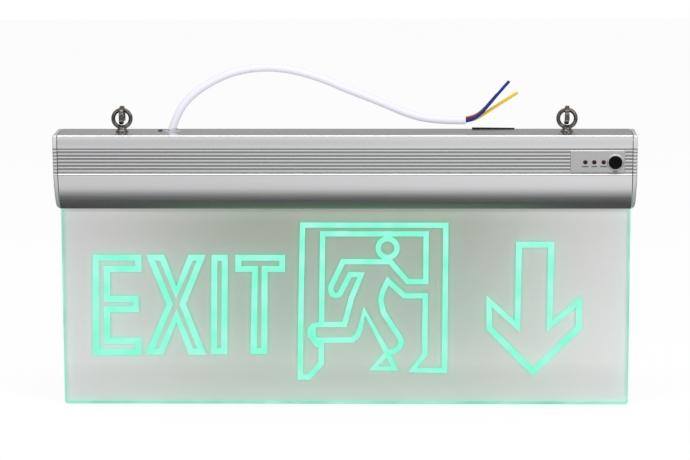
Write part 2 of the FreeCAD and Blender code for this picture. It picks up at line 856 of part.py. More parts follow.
def build():
    os.makedirs("parts", exist_ok=True)
    export(housing(), "housing")
    for side, hand in ((-1, "left"), (1, "right")):
        export(end_cap(side), "end_cap_" + hand)
        export(cap_screws(side), "cap_screws_" + hand)
        export(eyebolt(side), "eyebolt_" + hand)
        export(eyebolt_washer(side), "eyebolt_washer_" + hand)
        export(eyebolt_nut(side), "eyebolt_nut_" + hand)
        export(split_ring(side), "split_ring_" + hand)
    export(sign_sheet(-1), "front_sheet")
    export(sign_sheet(1), "back_sheet")
    export(reflector_film(), "reflector_film")
    export(panel_carrier(), "panel_carrier")
    export(panel_pins(), "panel_pins")
    export(light_strip(), "light_strip_board")
    export(strip_leds(), "light_strip_leds")
    export(main_board(), "main_board")
    export(battery_pack(), "battery_pack")
    export(battery_clip(-battery_length / 3), "battery_clip_left")
    export(battery_clip(battery_length / 3), "battery_clip_right")
    export(transformer(), "transformer")
    export(capacitor(), "capacitor")
    export(terminal_block(), "terminal_block")
    export(cable_gland(), "cable_gland")
    export(gland_nut(), "gland_nut")
    export(case_screw(), "case_screw")
    export(blanking_plug(), "blanking_plug")
    export(control_plate(), "control_plate")
    export(control_board(), "control_board")
    export(status_leds(), "status_leds")
    export(test_switch(), "test_switch")
    export(switch_actuator(), "switch_actuator")
    export(test_button(), "test_button")
    export(cord_tube(sheath_route, sheath_radius, "supply_cable"), "supply_cable")
    export(cord_tube(blue_route, core_radius, "blue_core"), "blue_core")
    export(cord_tube(yellow_route, core_radius, "yellow_core"), "yellow_core")
    export(cord_tube(brown_route, core_radius, "brown_core"), "brown_core")


build()
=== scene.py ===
import bmesh
import bpy
import json
import math
from mathutils import Matrix, Vector


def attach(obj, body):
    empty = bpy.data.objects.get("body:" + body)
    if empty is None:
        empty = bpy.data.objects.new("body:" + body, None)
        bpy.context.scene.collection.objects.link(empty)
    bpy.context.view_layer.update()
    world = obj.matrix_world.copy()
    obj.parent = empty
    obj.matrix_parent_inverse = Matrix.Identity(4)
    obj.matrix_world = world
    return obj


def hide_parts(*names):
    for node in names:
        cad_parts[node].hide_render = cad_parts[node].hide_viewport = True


# Emergency exit light: ribbed aluminium housing, edge-lit acrylic sign, supply cable.
# Everything is in metres: X along the housing, Y from the front to the back, Z up.

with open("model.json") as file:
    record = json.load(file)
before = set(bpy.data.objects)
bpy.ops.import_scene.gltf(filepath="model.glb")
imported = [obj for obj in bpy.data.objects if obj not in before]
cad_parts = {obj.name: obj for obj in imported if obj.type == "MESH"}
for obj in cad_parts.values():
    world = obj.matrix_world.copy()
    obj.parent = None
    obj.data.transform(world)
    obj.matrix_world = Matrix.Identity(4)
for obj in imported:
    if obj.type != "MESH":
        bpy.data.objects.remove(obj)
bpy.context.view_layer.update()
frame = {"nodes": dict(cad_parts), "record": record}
nodes = frame["nodes"]
scene = bpy.context.scene
mm = 0.001
print("frame loaded:", len(nodes), "nodes")


cameraSetup = {"place": (0.0635, -2.462, 0.298), "turn": 1.4835, "dip": 8.4575,
               "roll": -0.1900, "lens": 188.25, "sensor": 36.0}


def addCamera(s):
    turn, dip, roll = (math.radians(s[k]) for k in ("turn", "dip", "roll"))
    forward = Vector((-math.sin(turn) * math.cos(dip), math.cos(turn) * math.cos(dip),
                      -math.sin(dip)))
    right = Vector((math.cos(turn), math.sin(turn), 0))
    up = right.cross(forward)
    rightRolled = right * math.cos(roll) + up * math.sin(roll)
    upRolled = up * math.cos(roll) - right * math.sin(roll)
    camera = bpy.data.objects.new("camera", bpy.data.cameras.new("camera"))
    scene.collection.objects.link(camera)
    camera.data.lens = s["lens"]
    camera.data.sensor_width = s["sensor"]
    camera.data.clip_end = 20
    axes = Matrix((rightRolled, upRolled, -forward)).transposed()
    camera.matrix_world = Matrix.Translation(s["place"]) @ axes.to_4x4()
    scene.camera = camera


addCamera(cameraSetup)
scene.view_settings.view_transform = "Standard"

studio = {"ambient": 0.98, "floorLevel": -0.1912, "floorSize": 6.0, "floorGlow": 0.86,
          "keyPower": 8.5, "fillPower": 4.8, "topPower": 7.0, "backCard": 0.40}


def newMaterial(name):
    material = bpy.data.materials.new(name)
    material.use_nodes = True
    material.node_tree.nodes.clear()
    return material, material.node_tree.nodes, material.node_tree.links


def mapped(tree, value, low, high, start=0.0, end=1.0):
    node = tree.nodes.new("ShaderNodeMapRange")
    node.interpolation_type = "SMOOTHSTEP"
    for socket, number in (("From Min", low), ("From Max", high), ("To Min", start),
                           ("To Max", end)):
        node.inputs[socket].default_value = number
    tree.links.new(value, node.inputs["Value"])
    return node.outputs[0]


def blended(tree, factor, first, second):
    node = tree.nodes.new("ShaderNodeMix")
    node.data_type = "RGBA"
    tree.links.new(factor, node.inputs["Factor"])
    for socket, value in (("A", first), ("B", second)):
        if isinstance(value, tuple):
            node.inputs[socket].default_value = (*value, 1)
        else:
            tree.links.new(value, node.inputs[socket])
    return node.outputs["Result"]


def worked(tree, operation, *values):
    # one maths node; each value is a number or another node's output
    node = tree.nodes.new("ShaderNodeMath")
    node.operation = operation
    for socket, value in zip(node.inputs, values):
        if isinstance(value, float):
            socket.default_value = value
        else:
            tree.links.new(value, socket)
    return node.outputs[0]


def seenDirectly(tree):
    # one where a camera, glossy or transmission ray looks, zero for light that falls on things
    path = tree.nodes.new("ShaderNodeLightPath")
    either = worked(tree, "MAXIMUM", path.outputs["Is Camera Ray"],
                    path.outputs["Is Glossy Ray"])
    return worked(tree, "MAXIMUM", either, path.outputs["Is Transmission Ray"])


def addWorld(s):
    world = bpy.data.worlds.new("studio")
    scene.world = world
    world.use_nodes = True
    tree = world.node_tree
    tree.nodes.clear()
    output = tree.nodes.new("ShaderNodeOutputWorld")
    mix = tree.nodes.new("ShaderNodeMixShader")
    soft = tree.nodes.new("ShaderNodeBackground")
    soft.inputs["Color"].default_value = (1, 1, 1, 1)
    soft.inputs["Strength"].default_value = s["ambient"]
    white = tree.nodes.new("ShaderNodeBackground")
    white.inputs["Color"].default_value = (1, 1, 1, 1)
    white.inputs["Strength"].default_value = 1.0
    tree.links.new(seenDirectly(tree), mix.inputs[0])
    tree.links.new(soft.outputs[0], mix.inputs[1])
    tree.links.new(white.outputs[0], mix.inputs[2])
    tree.links.new(mix.outputs[0], output.inputs["Surface"])


def addFloor(s):
    half = s["floorSize"] / 2
    mesh = bpy.data.meshes.new("floor")
    z = s["floorLevel"]
    mesh.from_pydata([(-half, -half, z), (half, -half, z), (half, half, z), (-half, half, z)],
                     [], [(0, 1, 2, 3)])
    floor = bpy.data.objects.new("floor", mesh)
    scene.collection.objects.link(floor)
    material, kit, links = newMaterial("paleFloor")
    output = kit.new("ShaderNodeOutputMaterial")
    mix = kit.new("ShaderNodeMixShader")
    matt = kit.new("ShaderNodeBsdfDiffuse")
    matt.inputs["Color"].default_value = (0.78, 0.78, 0.78, 1)
    glow = kit.new("ShaderNodeEmission")
    glow.inputs["Strength"].default_value = 1.0
    share = worked(material.node_tree, "MULTIPLY", seenDirectly(material.node_tree),
                   s["floorGlow"])
    links.new(share, mix.inputs[0])
    links.new(matt.outputs[0], mix.inputs[1])
    links.new(glow.outputs[0], mix.inputs[2])
    links.new(mix.outputs[0], output.inputs["Surface"])
    material.cycles.emission_sampling = "NONE"
    mesh.materials.append(material)


cardTone = {"leftEnd": -0.21, "rightEnd": 0.21, "glowOuter": 0.19, "glowInner": 0.06,
            "glow": (0.11, 0.33, 0.16)}


def addCard(name, corners, left, right, glowAt=None):
    mesh = bpy.data.meshes.new(name)
    mesh.from_pydata(corners, [], [(0, 1, 2, 3)])
    card = bpy.data.objects.new(name, mesh)
    scene.collection.objects.link(card)
    material, kit, links = newMaterial(name)
    tree = material.node_tree
    output = kit.new("ShaderNodeOutputMaterial")
    glow = kit.new("ShaderNodeEmission")
    spot = kit.new("ShaderNodeTexCoord")
    axes = kit.new("ShaderNodeSeparateXYZ")
    links.new(spot.outputs["Object"], axes.inputs[0])
    along = mapped(tree, axes.outputs["X"], cardTone["leftEnd"], cardTone["rightEnd"])
    colour = blended(tree, along, (left,) * 3, (right,) * 3)
    # painted reflection: the lit sign's green glow on the floor, painted on this card for the
    # housing's nose to reflect
    if glowAt:  # the lit sign's green, strongest in the middle of the length
        across = worked(tree, "ABSOLUTE", axes.outputs["X"])
        middle = mapped(tree, across, cardTone["glowOuter"], cardTone["glowInner"])
        near = mapped(tree, axes.outputs["Y"], *glowAt)
        colour = blended(tree, worked(tree, "MULTIPLY", middle, near), colour,
                         cardTone["glow"])
    links.new(colour, glow.inputs["Color"])
    links.new(glow.outputs[0], output.inputs["Surface"])
    material.cycles.emission_sampling = "NONE"
    mesh.materials.append(material)
    card.visible_camera = False
    card.visible_diffuse = False
    card.visible_shadow = False
    card.visible_transmission = False


def addLamp(name, place, target, width, height, power):
    data = bpy.data.lights.new(name, "AREA")
    data.shape = "RECTANGLE"
    data.size = width
    data.size_y = height
    data.energy = power
    lamp = bpy.data.objects.new(name, data)
    scene.collection.objects.link(lamp)
    aim = (Vector(target) - Vector(place)).to_track_quat("-Z", "Y")
    lamp.matrix_world = Matrix.Translation(place) @ aim.to_matrix().to_4x4()
    lamp.visible_camera = False


addWorld(studio)
addFloor(studio)
lampAim = (0, 0, -0.08)
addLamp("keyLamp", (1.0, -1.5, 0.75), lampAim, 0.9, 0.6, studio["keyPower"])
addLamp("fillLamp", (-1.1, -1.5, 0.45), lampAim, 0.9, 0.6, studio["fillPower"])
addLamp("topLamp", (0.0, -0.55, 1.15), lampAim, 1.6, 0.35, studio["topPower"])
floorZ = studio["floorLevel"]


def floorPatch(nearY, farY, lift=0.001):
    z = floorZ + lift
    return [(-1.2, farY, z), (1.2, farY, z), (1.2, nearY, z), (-1.2, nearY, z)]


# cards that only reflections show: they shape the tones on the metal, from left to right
addCard("darkCard", floorPatch(0.20, -0.120), 0.05, 0.05, (-0.085, -0.050))
addCard("fadeCard", floorPatch(-0.120, -0.150), 0.36, 0.44)
addCard("lowerFaceCard", floorPatch(-0.150, -0.75), 0.86, 1.0)
addCard("upperBandCard", floorPatch(-0.75, -2.6), 0.70, 0.86)
backWall = [(-1.5, 2.0, -0.15), (1.5, 2.0, -0.15), (1.5, 2.0, 1.2), (-1.5, 2.0, 1.2)]
addCard("backCard", backWall, studio["backCard"], studio["backCard"] * 0.93)
leftWall = [(-1.3, -2.0, -0.19), (-1.3, 1.5, -0.19), (-1.3, 1.5, 0.9), (-1.3, -2.0, 0.9)]
addCard("leftCard", leftWall, 0.62, 0.62)
print("camera, floor and lamps placed")


def finish(name, colour, metallic=0.0, roughness=(0.4, 0.5), grain=(400, 400, 400),
           bump=0.1, bumpDepth=0.00005, tint=0.04, sockets=None):
    # a surface with its own grain: the noise moves its colour, its gloss and its relief a little
    material, kit, links = newMaterial(name)
    output = kit.new("ShaderNodeOutputMaterial")
    shader = kit.new("ShaderNodeBsdfPrincipled")
    shader.inputs["Metallic"].default_value = metallic
    for socket, value in (sockets or {}).items():
        shader.inputs[socket].default_value = value
    place = kit.new("ShaderNodeTexCoord")
    mapping = kit.new("ShaderNodeMapping")
    mapping.inputs["Scale"].default_value = grain
    noise = kit.new("ShaderNodeTexNoise")
    noise.inputs["Scale"].default_value = 1.0
    noise.inputs["Detail"].default_value = 4.0
    links.new(place.outputs["Object"], mapping.inputs["Vector"])
    links.new(mapping.outputs[0], noise.inputs["Vector"])
    gloss = kit.new("ShaderNodeMapRange")
    gloss.inputs["From Min"].default_value = 0.3
    gloss.inputs["From Max"].default_value = 0.7
    gloss.inputs["To Min"].default_value = roughness[0]
    gloss.inputs["To Max"].default_value = roughness[1]
    links.new(noise.outputs["Fac"], gloss.inputs["Value"])
    links.new(gloss.outputs[0], shader.inputs["Roughness"])
    shade = kit.new("ShaderNodeMix")
    shade.data_type = "RGBA"
    shade.inputs["A"].default_value = (*[max(0, c * (1 - tint)) for c in colour], 1)
    shade.inputs["B"].default_value = (*[min(1, c * (1 + tint)) for c in colour], 1)
    links.new(noise.outputs["Fac"], shade.inputs["Factor"])
    links.new(shade.outputs["Result"], shader.inputs["Base Color"])
    relief = kit.new("ShaderNodeBump")
    relief.inputs["Strength"].default_value = bump
    relief.inputs["Distance"].default_value = bumpDepth
    links.new(noise.outputs["Fac"], relief.inputs["Height"])
    links.new(relief.outputs[0], shader.inputs["Normal"])
    links.new(shader.outputs[0], output.inputs["Surface"])
    return material


def glowFinish(name, dim, bright, strength, spread, grain):
    # lit acrylic edge or engraved line: its tone and brightness wander a little along it
    material, kit, links = newMaterial(name)
    output = kit.new("ShaderNodeOutputMaterial")
    shader = kit.new("ShaderNodeBsdfPrincipled")
    shader.inputs["Base Color"].default_value = (*[c * 0.1 for c in dim], 1)
    place = kit.new("ShaderNodeTexCoord")
    noise = kit.new("ShaderNodeTexNoise")
    noise.inputs["Scale"].default_value = grain
    noise.inputs["Detail"].default_value = 3.0
    links.new(place.outputs["Object"], noise.inputs["Vector"])
    power = kit.new("ShaderNodeMapRange")
    power.inputs["From Min"].default_value = 0.3
    power.inputs["From Max"].default_value = 0.7
    power.inputs["To Min"].default_value = strength * (1 - spread)
    power.inputs["To Max"].default_value = strength * (1 + spread)
    links.new(noise.outputs["Fac"], power.inputs["Value"])
    links.new(power.outputs[0], shader.inputs["Emission Strength"])
    tone = blended(material.node_tree, mapped(material.node_tree, noise.outputs["Fac"], 0.35,
                                              0.65), dim, bright)
    links.new(tone, shader.inputs["Emission Color"])
    gloss = kit.new("ShaderNodeMapRange")
    gloss.inputs["To Min"].default_value = 0.35
    gloss.inputs["To Max"].default_value = 0.55
    links.new(noise.outputs["Fac"], gloss.inputs["Value"])
    links.new(gloss.outputs[0], shader.inputs["Roughness"])
    relief = kit.new("ShaderNodeBump")
    relief.inputs["Strength"].default_value = 0.1
    relief.inputs["Distance"].default_value = 0.00005
    links.new(noise.outputs["Fac"], relief.inputs["Height"])
    links.new(relief.outputs[0], shader.inputs["Normal"])
    links.new(shader.outputs[0], output.inputs["Surface"])
    return material


def acrylicFinish():
    # clear sheet: a gloss coat over a see-through body, so light still reaches the film
    material, kit, links = newMaterial("clearAcrylic")
    output = kit.new("ShaderNodeOutputMaterial")
    clear = kit.new("ShaderNodeBsdfTransparent")
    clear.inputs["Color"].default_value = (0.985, 1.0, 0.992, 1)
    gloss = kit.new("ShaderNodeBsdfGlossy")
    fresnel = kit.new("ShaderNodeFresnel")
    fresnel.inputs["IOR"].default_value = 1.49
    mix = kit.new("ShaderNodeMixShader")
    place = kit.new("ShaderNodeTexCoord")
    noise = kit.new("ShaderNodeTexNoise")
    noise.inputs["Scale"].default_value = 60.0
    links.new(place.outputs["Object"], noise.inputs["Vector"])
    haze = kit.new("ShaderNodeMapRange")
    haze.inputs["To Min"].default_value = 0.02
    haze.inputs["To Max"].default_value = 0.07
    links.new(noise.outputs["Fac"], haze.inputs["Value"])
    links.new(haze.outputs[0], gloss.inputs["Roughness"])
    relief = kit.new("ShaderNodeBump")
    relief.inputs["Strength"].default_value = 0.02
    relief.inputs["Distance"].default_value = 0.0001
    links.new(noise.outputs["Fac"], relief.inputs["Height"])
    links.new(relief.outputs[0], gloss.inputs["Normal"])
    links.new(fresnel.outputs[0], mix.inputs[0])
    links.new(clear.outputs[0], mix.inputs[1])
    links.new(gloss.outputs[0], mix.inputs[2])
    links.new(mix.outputs[0], output.inputs["Surface"])
    return material


filmLook = {"leftEdge": (0.885, 0.815, 0.845), "rightEdge": (0.93, 0.862, 0.89),
            "topMiddle": (0.54, 0.555, 0.475), "middle": (0.51, 0.60, 0.52),
            "bottom": (0.74, 0.745, 0.71), "footGlow": 0.15, "brow": -0.052,
            "browGlow": 0.07, "browReach": 0.014, "halfWidth": 0.19, "sideFrom": 0.25,
            "sideTo": 1.05, "top": -0.05, "foot": -0.19}


def filmFinish(s):
    # silver film whose colour carries painted light and shade: duller and greener in its middle,
    # where less of the strip's light comes back, paler towards its foot and its ends, the right
    # end paler than the left
    material, kit, links = newMaterial("silverFilm")
    tree = material.node_tree
    output = kit.new("ShaderNodeOutputMaterial")
    shader = kit.new("ShaderNodeBsdfPrincipled")
    place = kit.new("ShaderNodeTexCoord")
    axes = kit.new("ShaderNodeSeparateXYZ")
    links.new(place.outputs["Object"], axes.inputs[0])
    across = worked(tree, "ABSOLUTE", axes.outputs["X"])
    middleZ = (s["top"] + s["foot"]) / 2
    upper = blended(tree, mapped(tree, axes.outputs["Z"], middleZ, s["top"]), s["middle"],
                    s["topMiddle"])
    whole = blended(tree, mapped(tree, axes.outputs["Z"], middleZ, s["foot"]), upper,
                    s["bottom"])
    sides = mapped(tree, across, s["halfWidth"] * s["sideFrom"],
                   s["halfWidth"] * s["sideTo"])
    ends = blended(tree, mapped(tree, axes.outputs["X"], -0.05, 0.05), s["leftEdge"],
                   s["rightEdge"])
    colour = blended(tree, sides, whole, ends)
    links.new(colour, shader.inputs["Base Color"])
    shader.inputs["Emission Color"].default_value = (0.94, 1.0, 0.96, 1)
    # painted light: a faint glow that brightens the film towards its foot, and a narrow glow
    # under the housing's brow that fills the shadow there
    atFoot = mapped(tree, axes.outputs["Z"], s["top"], s["foot"], 0.0, s["footGlow"])
    atBrow = mapped(tree, axes.outputs["Z"], s["brow"] - s["browReach"], s["brow"], 0.0,
                    s["browGlow"])
    links.new(worked(tree, "ADD", atFoot, atBrow), shader.inputs["Emission Strength"])
    noise = kit.new("ShaderNodeTexNoise")
    noise.inputs["Scale"].default_value = 35.0
    noise.inputs["Detail"].default_value = 3.0
    links.new(place.outputs["Object"], noise.inputs["Vector"])
    links.new(mapped(tree, noise.outputs["Fac"], 0.3, 0.7, 0.45, 0.6),
              shader.inputs["Roughness"])
    relief = kit.new("ShaderNodeBump")
    relief.inputs["Strength"].default_value = 0.05
    relief.inputs["Distance"].default_value = 0.0001
    links.new(noise.outputs["Fac"], relief.inputs["Height"])
    links.new(relief.outputs[0], shader.inputs["Normal"])
    links.new(shader.outputs[0], output.inputs["Surface"])
    return material


grooveLook = {"sides": (0.20, 0.12), "highlightTop": (0.0007, 0.0003),
              "highlightFoot": (0.0009, 0.0005)}


def paintGrooveShadeAndHighlight(material, s, tone, paintedHighlight=None):
    # painted shade darkens the grooves, and a painted highlight lies along the ledge below them
    tree = material.node_tree
    kit, links = tree.nodes, tree.links
    slope = math.cos(math.atan2(s["lean"], s["ribbed"]))
    first = -s["band"] - s["firstGroove"] * slope
    pitch = s["pitch"] * slope
    spot = kit.new("ShaderNodeTexCoord")
    axes = kit.new("ShaderNodeSeparateXYZ")
    links.new(spot.outputs["Object"], axes.inputs[0])
    count = kit.new("ShaderNodeMapRange")
    for socket, number in (("From Min", first), ("From Max", first - pitch), ("To Min", 0.0),
                           ("To Max", 1.0)):
        count.inputs[socket].default_value = number
    count.clamp = False
    links.new(axes.outputs["Z"], count.inputs["Value"])
    part = worked(tree, "FRACT", count.outputs[0])
    off = worked(tree, "SUBTRACT", part, s["width"] / s["pitch"] / 2)
    # painted shade inside each groove
    groove = mapped(tree, worked(tree, "ABSOLUTE", off), *grooveLook["sides"])
    below = mapped(tree, count.outputs[0], -0.02, 0.02)
    above = mapped(tree, count.outputs[0], s["grooves"] - 0.48, s["grooves"] - 0.52)
    share = worked(tree, "MULTIPLY", groove, worked(tree, "MULTIPLY", below, above))
    shader = kit["Principled BSDF"]
    plain = shader.inputs["Base Color"].links[0].from_socket
    colour = blended(tree, share, plain, tone)
    # painted highlight along the ledge below the last groove
    if paintedHighlight:
        foot = -s["band"] - s["ribbed"]
        upper, lower = grooveLook["highlightTop"], grooveLook["highlightFoot"]
        start = mapped(tree, axes.outputs["Z"], foot + upper[0], foot + upper[1])
        end = mapped(tree, axes.outputs["Z"], foot - lower[0], foot - lower[1])
        colour = blended(tree, worked(tree, "MULTIPLY", start, end), colour, paintedHighlight)
    links.new(colour, shader.inputs["Base Color"])


shell = {"halfLength": 0.197, "halfDepth": 0.019, "height": 0.0524, "edge": 0.0012,
         "band": 0.0087, "ribbed": 0.0186, "lean": 0.0034, "grooves": 8, "pitch": 0.00243,
         "width": 0.00115, "depth": 0.0008, "firstGroove": 0.0004, "crest": 0.00020,
         "nose": (-0.0121, -0.0397), "mouth": 0.0047, "lip": 0.0014, "ledge": -0.046,
         "chamber": 0.0064, "webUnder": -0.0396, "seam": 0.0005, "footBead": 0.0005}
brushed = (6, 1800, 1800)
fine = (1500, 1500, 1500)
finishes = {
    "anodised_housing": finish("anodisedHousing", (0.66, 0.66, 0.67), 0.97, (0.17, 0.24),
                               brushed, 0.02, 0.00002, 0.03),
    "end_cap_grey": finish("satinCapGrey", (0.60, 0.60, 0.61), 0.7, (0.34, 0.42), fine, 0.08,
                           0.00002, 0.03),
    "zinc_steel": finish("zincSteel", (0.62, 0.63, 0.65), 1.0, (0.22, 0.34), fine, 0.1),
    # painted reflection: the strong mottle puts light and dark patches on the nickel in place of
    # its reflections
    "nickel_steel": finish("darkNickel", (0.10, 0.092, 0.082), 1.0, (0.10, 0.20),
                           (420, 420, 420), 0.08, 0.00006, 0.92),
    "clear_acrylic": acrylicFinish(),
    "silver_film": filmFinish(filmLook),
    "plain_aluminium": finish("millAluminium", (0.58, 0.60, 0.58), 1.0, (0.3, 0.45), brushed,
                              0.15),
    "white_board": finish("whiteBoard", (0.86, 0.87, 0.86), 0.0, (0.35, 0.45), fine),
    "led_package": finish("ledPackage", (0.88, 0.84, 0.55), 0.0, (0.2, 0.3), fine),
    "green_board": finish("greenBoard", (0.02, 0.16, 0.06), 0.0, (0.25, 0.35), fine),
    "battery_wrap": finish("batteryWrap", (0.03, 0.12, 0.42), 0.0, (0.25, 0.35), fine),
    "spring_steel": finish("springSteel", (0.5, 0.51, 0.53), 1.0, (0.25, 0.35), fine),
    "core_laminations": finish("coreLaminations", (0.12, 0.12, 0.13), 0.7, (0.45, 0.6),
                               (200, 200, 4000), 0.3),
    "capacitor_can": finish("capacitorCan", (0.02, 0.02, 0.04), 0.0, (0.25, 0.35), fine),
    "terminal_plastic": finish("terminalNylon", (0.05, 0.2, 0.08), 0.0, (0.45, 0.55), fine),
    "grey_nylon": finish("paleNylon", (0.36, 0.36, 0.38), 0.0, (0.42, 0.52), fine, 0.15),
    "dark_steel": finish("darkSteel", (0.05, 0.05, 0.05), 0.9, (0.35, 0.45), fine),
    "black_plastic": finish("blackPlastic", (0.004, 0.004, 0.004), 0.0, (0.5, 0.62), fine, 0.3,
                            sockets={"Specular IOR Level": 0.1}),
    "brushed_plate": finish("brushedPlate", (0.44, 0.44, 0.44), 0.9, (0.32, 0.46),
                            (25, 3500, 3500), 0.3, 0.00003, 0.10),
    "red_led_lens": finish("maroonLens", (0.035, 0.0015, 0.005), 0.0, (0.12, 0.2), fine, 0.05,
                           sockets={"Specular IOR Level": 0.2}),
    "black_button": finish("blackButton", (0.002, 0.002, 0.0025), 0.0, (0.45, 0.58),
                           (2200, 2200, 2200), 0.5, 0.00008,
                           sockets={"Specular IOR Level": 0.06}),
    "white_sheath": finish("whiteSheath", (0.62, 0.605, 0.67), 0.0, (0.5, 0.6),
                           (300, 300, 300), 0.02, 0.00003, 0.01),
    "blue_insulation": finish("blueInsulation", (0.002, 0.026, 0.20), 0.0, (0.45, 0.55),
                              (900, 900, 900), 0.03, sockets={"Specular IOR Level": 0.12}),
    "yellow_insulation": finish("yellowInsulation", (0.72, 0.46, 0.010), 0.0, (0.45, 0.55),
                                (400, 400, 400), 0.02, sockets={"Specular IOR Level": 0.12}),
    "brown_insulation": finish("brownInsulation", (0.24, 0.035, 0.02), 0.0, (0.45, 0.55),
                               (900, 900, 900), 0.03, sockets={"Specular IOR Level": 0.12})}
signGlow = glowFinish("signGlow", (0.19, 0.92, 0.63), (0.30, 0.96, 0.70), 0.95, 0.04, 60.0)
edgeGlow = glowFinish("edgeGlow", (0.22, 0.76, 0.56), (0.34, 0.84, 0.66), 0.9, 0.08, 30.0)
legendGrey = finish("legendGrey", (0.05, 0.05, 0.055), 0.0, (0.5, 0.6), fine)

# painted shade in the grooves of the housing and its caps; on the housing also a painted
# highlight along the ledge below them
paintGrooveShadeAndHighlight(finishes["anodised_housing"], shell, (0.30, 0.30, 0.305), (0.97, 0.97, 0.97))
paintGrooveShadeAndHighlight(finishes["end_cap_grey"], shell, (0.26, 0.26, 0.265))

for row in frame["record"]["subparts"]:
    mesh = nodes[row["node"]].data
    mesh.materials.clear()
    mesh.materials.append(finishes[row["material_slot"]])
print("finishes made:", len(finishes))


def addCord(name, points, radius, material):
    data = bpy.data.curves.new(name, "CURVE")
    data.dimensions = "3D"
    data.resolution_u = 12
    data.render_resolution_u = 12
    data.bevel_depth = radius
    data.bevel_resolution = 7
    data.use_fill_caps = True
    line = data.splines.new("NURBS")
    line.points.add(len(points) - 1)
    for point, place in zip(line.points, points):
        point.co = (*place, 1)
    line.order_u = 3
    line.use_endpoint_u = True
    data.materials.append(material)
    cord = bpy.data.objects.new(name, data)
    scene.collection.objects.link(cord)
    return cord


# not the part's own route: up to 3.9 mm off it at the gland, and 4.5 mm longer
cableSizes = {"radius": 0.0027, "length": 0.2262}
cableRoute = [
    (-0.1196, 0.0060, 0.0008), (-0.1172, 0.0060, 0.0074), (-0.1142, 0.0061, 0.0139),
    (-0.1098, 0.0063, 0.0203), (-0.1036, 0.0066, 0.0263), (-0.0961, 0.0070, 0.0315),
    (-0.0864, 0.0073, 0.0368), (-0.0760, 0.0076, 0.0407), (-0.0640, 0.0079, 0.0431),
    (-0.0495, 0.0080, 0.0437), (-0.0349, 0.0080, 0.0416), (-0.0237, 0.0079, 0.0385),
    (-0.0112, 0.0078, 0.0342), (-0.0010, 0.0076, 0.0295), (0.0226, 0.0070, 0.0206),
    (0.0458, 0.0065, 0.0104), (0.0644, 0.0058, 0.0072), (0.0829, 0.0058, 0.0072)]
supplyCable = addCord("supplyCable", cableRoute, cableSizes["radius"],
                      finishes["white_sheath"])
coreSizes = {"radius": 0.00105}
coreRoutes = {
    "blue_core": (0.0424, [(0.0829, 0.0047, 0.0068), (0.0868, 0.0047, 0.0074),
                           (0.0927, 0.0046, 0.0112), (0.0993, 0.0044, 0.0188),
                           (0.1059, 0.0042, 0.0269), (0.1127, 0.0042, 0.0345)]),
    "yellow_core": (0.0417, [(0.0829, 0.00715, 0.0069), (0.0879, 0.00715, 0.0069),
                             (0.0959, 0.0090, 0.0115), (0.1069, 0.0092, 0.0188),
                             (0.1186, 0.0090, 0.0262)]),
    "brown_core": (0.0300, [(0.0829, 0.0058, 0.00875), (0.0868, 0.0058, 0.00930),
                            (0.0927, 0.0072, 0.0120), (0.0990, 0.0072, 0.0186),
                            (0.1045, 0.0070, 0.0252)])}
coreCurves = {}
for coreName, (coreLength, route) in coreRoutes.items():
    slotName = coreName.replace("_core", "_insulation")
    coreCurves[coreName] = addCord(coreName.replace("_core", "Core"), route,
                                   coreSizes["radius"], finishes[slotName])
print("cable and cores laid")


def addMesh(name, vertices, faces, material, smooth=None):
    mesh = bpy.data.meshes.new(name)
    mesh.from_pydata(vertices, [], faces)
    mesh.materials.append(material)
    piece = bpy.data.objects.new(name, mesh)
    scene.collection.objects.link(piece)
    if smooth is not None:
        shadeSmooth(piece, smooth)
    return piece


def shadeSmooth(piece, degrees):
    mesh = piece.data
    mesh.polygons.foreach_set("use_smooth", [True] * len(mesh.polygons))
    mesh.set_sharp_from_angle(angle=math.radians(degrees))
    mesh.update()


def fixNormals(piece):
    shape = bmesh.new()
    shape.from_mesh(piece.data)
    bmesh.ops.remove_doubles(shape, verts=shape.verts, dist=1e-6)
    bmesh.ops.recalc_face_normals(shape, faces=shape.faces)
    shape.to_mesh(piece.data)
    shape.free()


def settle(piece, body, slot, *replaced):
    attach(piece, body)
    if replaced:
        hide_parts(*replaced)
    return piece


def cleanCopy(node, name, degrees, material=None):
    # a merged, smoothly shaded copy of a plain node
    shape = bmesh.new()
    shape.from_mesh(nodes[node].data)
    bmesh.ops.remove_doubles(shape, verts=shape.verts, dist=2e-6)
    mesh = bpy.data.meshes.new(name)
    shape.to_mesh(mesh)
    shape.free()
    for spare in [a.name for a in mesh.attributes if a.name == "custom_normal"]:
        mesh.attributes.remove(mesh.attributes[spare])
    mesh.materials.append(material or nodes[node].data.materials[0])
    piece = bpy.data.objects.new(name, mesh)
    scene.collection.objects.link(piece)
    shadeSmooth(piece, degrees)
    return piece


def joined(name, pieces):
    # one mesh out of several, with their materials kept
    shape = bmesh.new()
    materials = []
    for piece in pieces:
        first = len(shape.faces)
        shape.from_mesh(piece.data)
        shape.faces.ensure_lookup_table()
        own = list(piece.data.materials)
        for material in own:
            if material not in materials:
                materials.append(material)
        for face in shape.faces[first:]:
            face.material_index = materials.index(own[min(face.material_index, len(own) - 1)])
    mesh = bpy.data.meshes.new(name)
    shape.to_mesh(mesh)
    shape.free()
    for material in materials:
        mesh.materials.append(material)
    for piece in pieces:
        bpy.data.objects.remove(piece)
    whole = bpy.data.objects.new(name, mesh)
    scene.collection.objects.link(whole)
    return whole


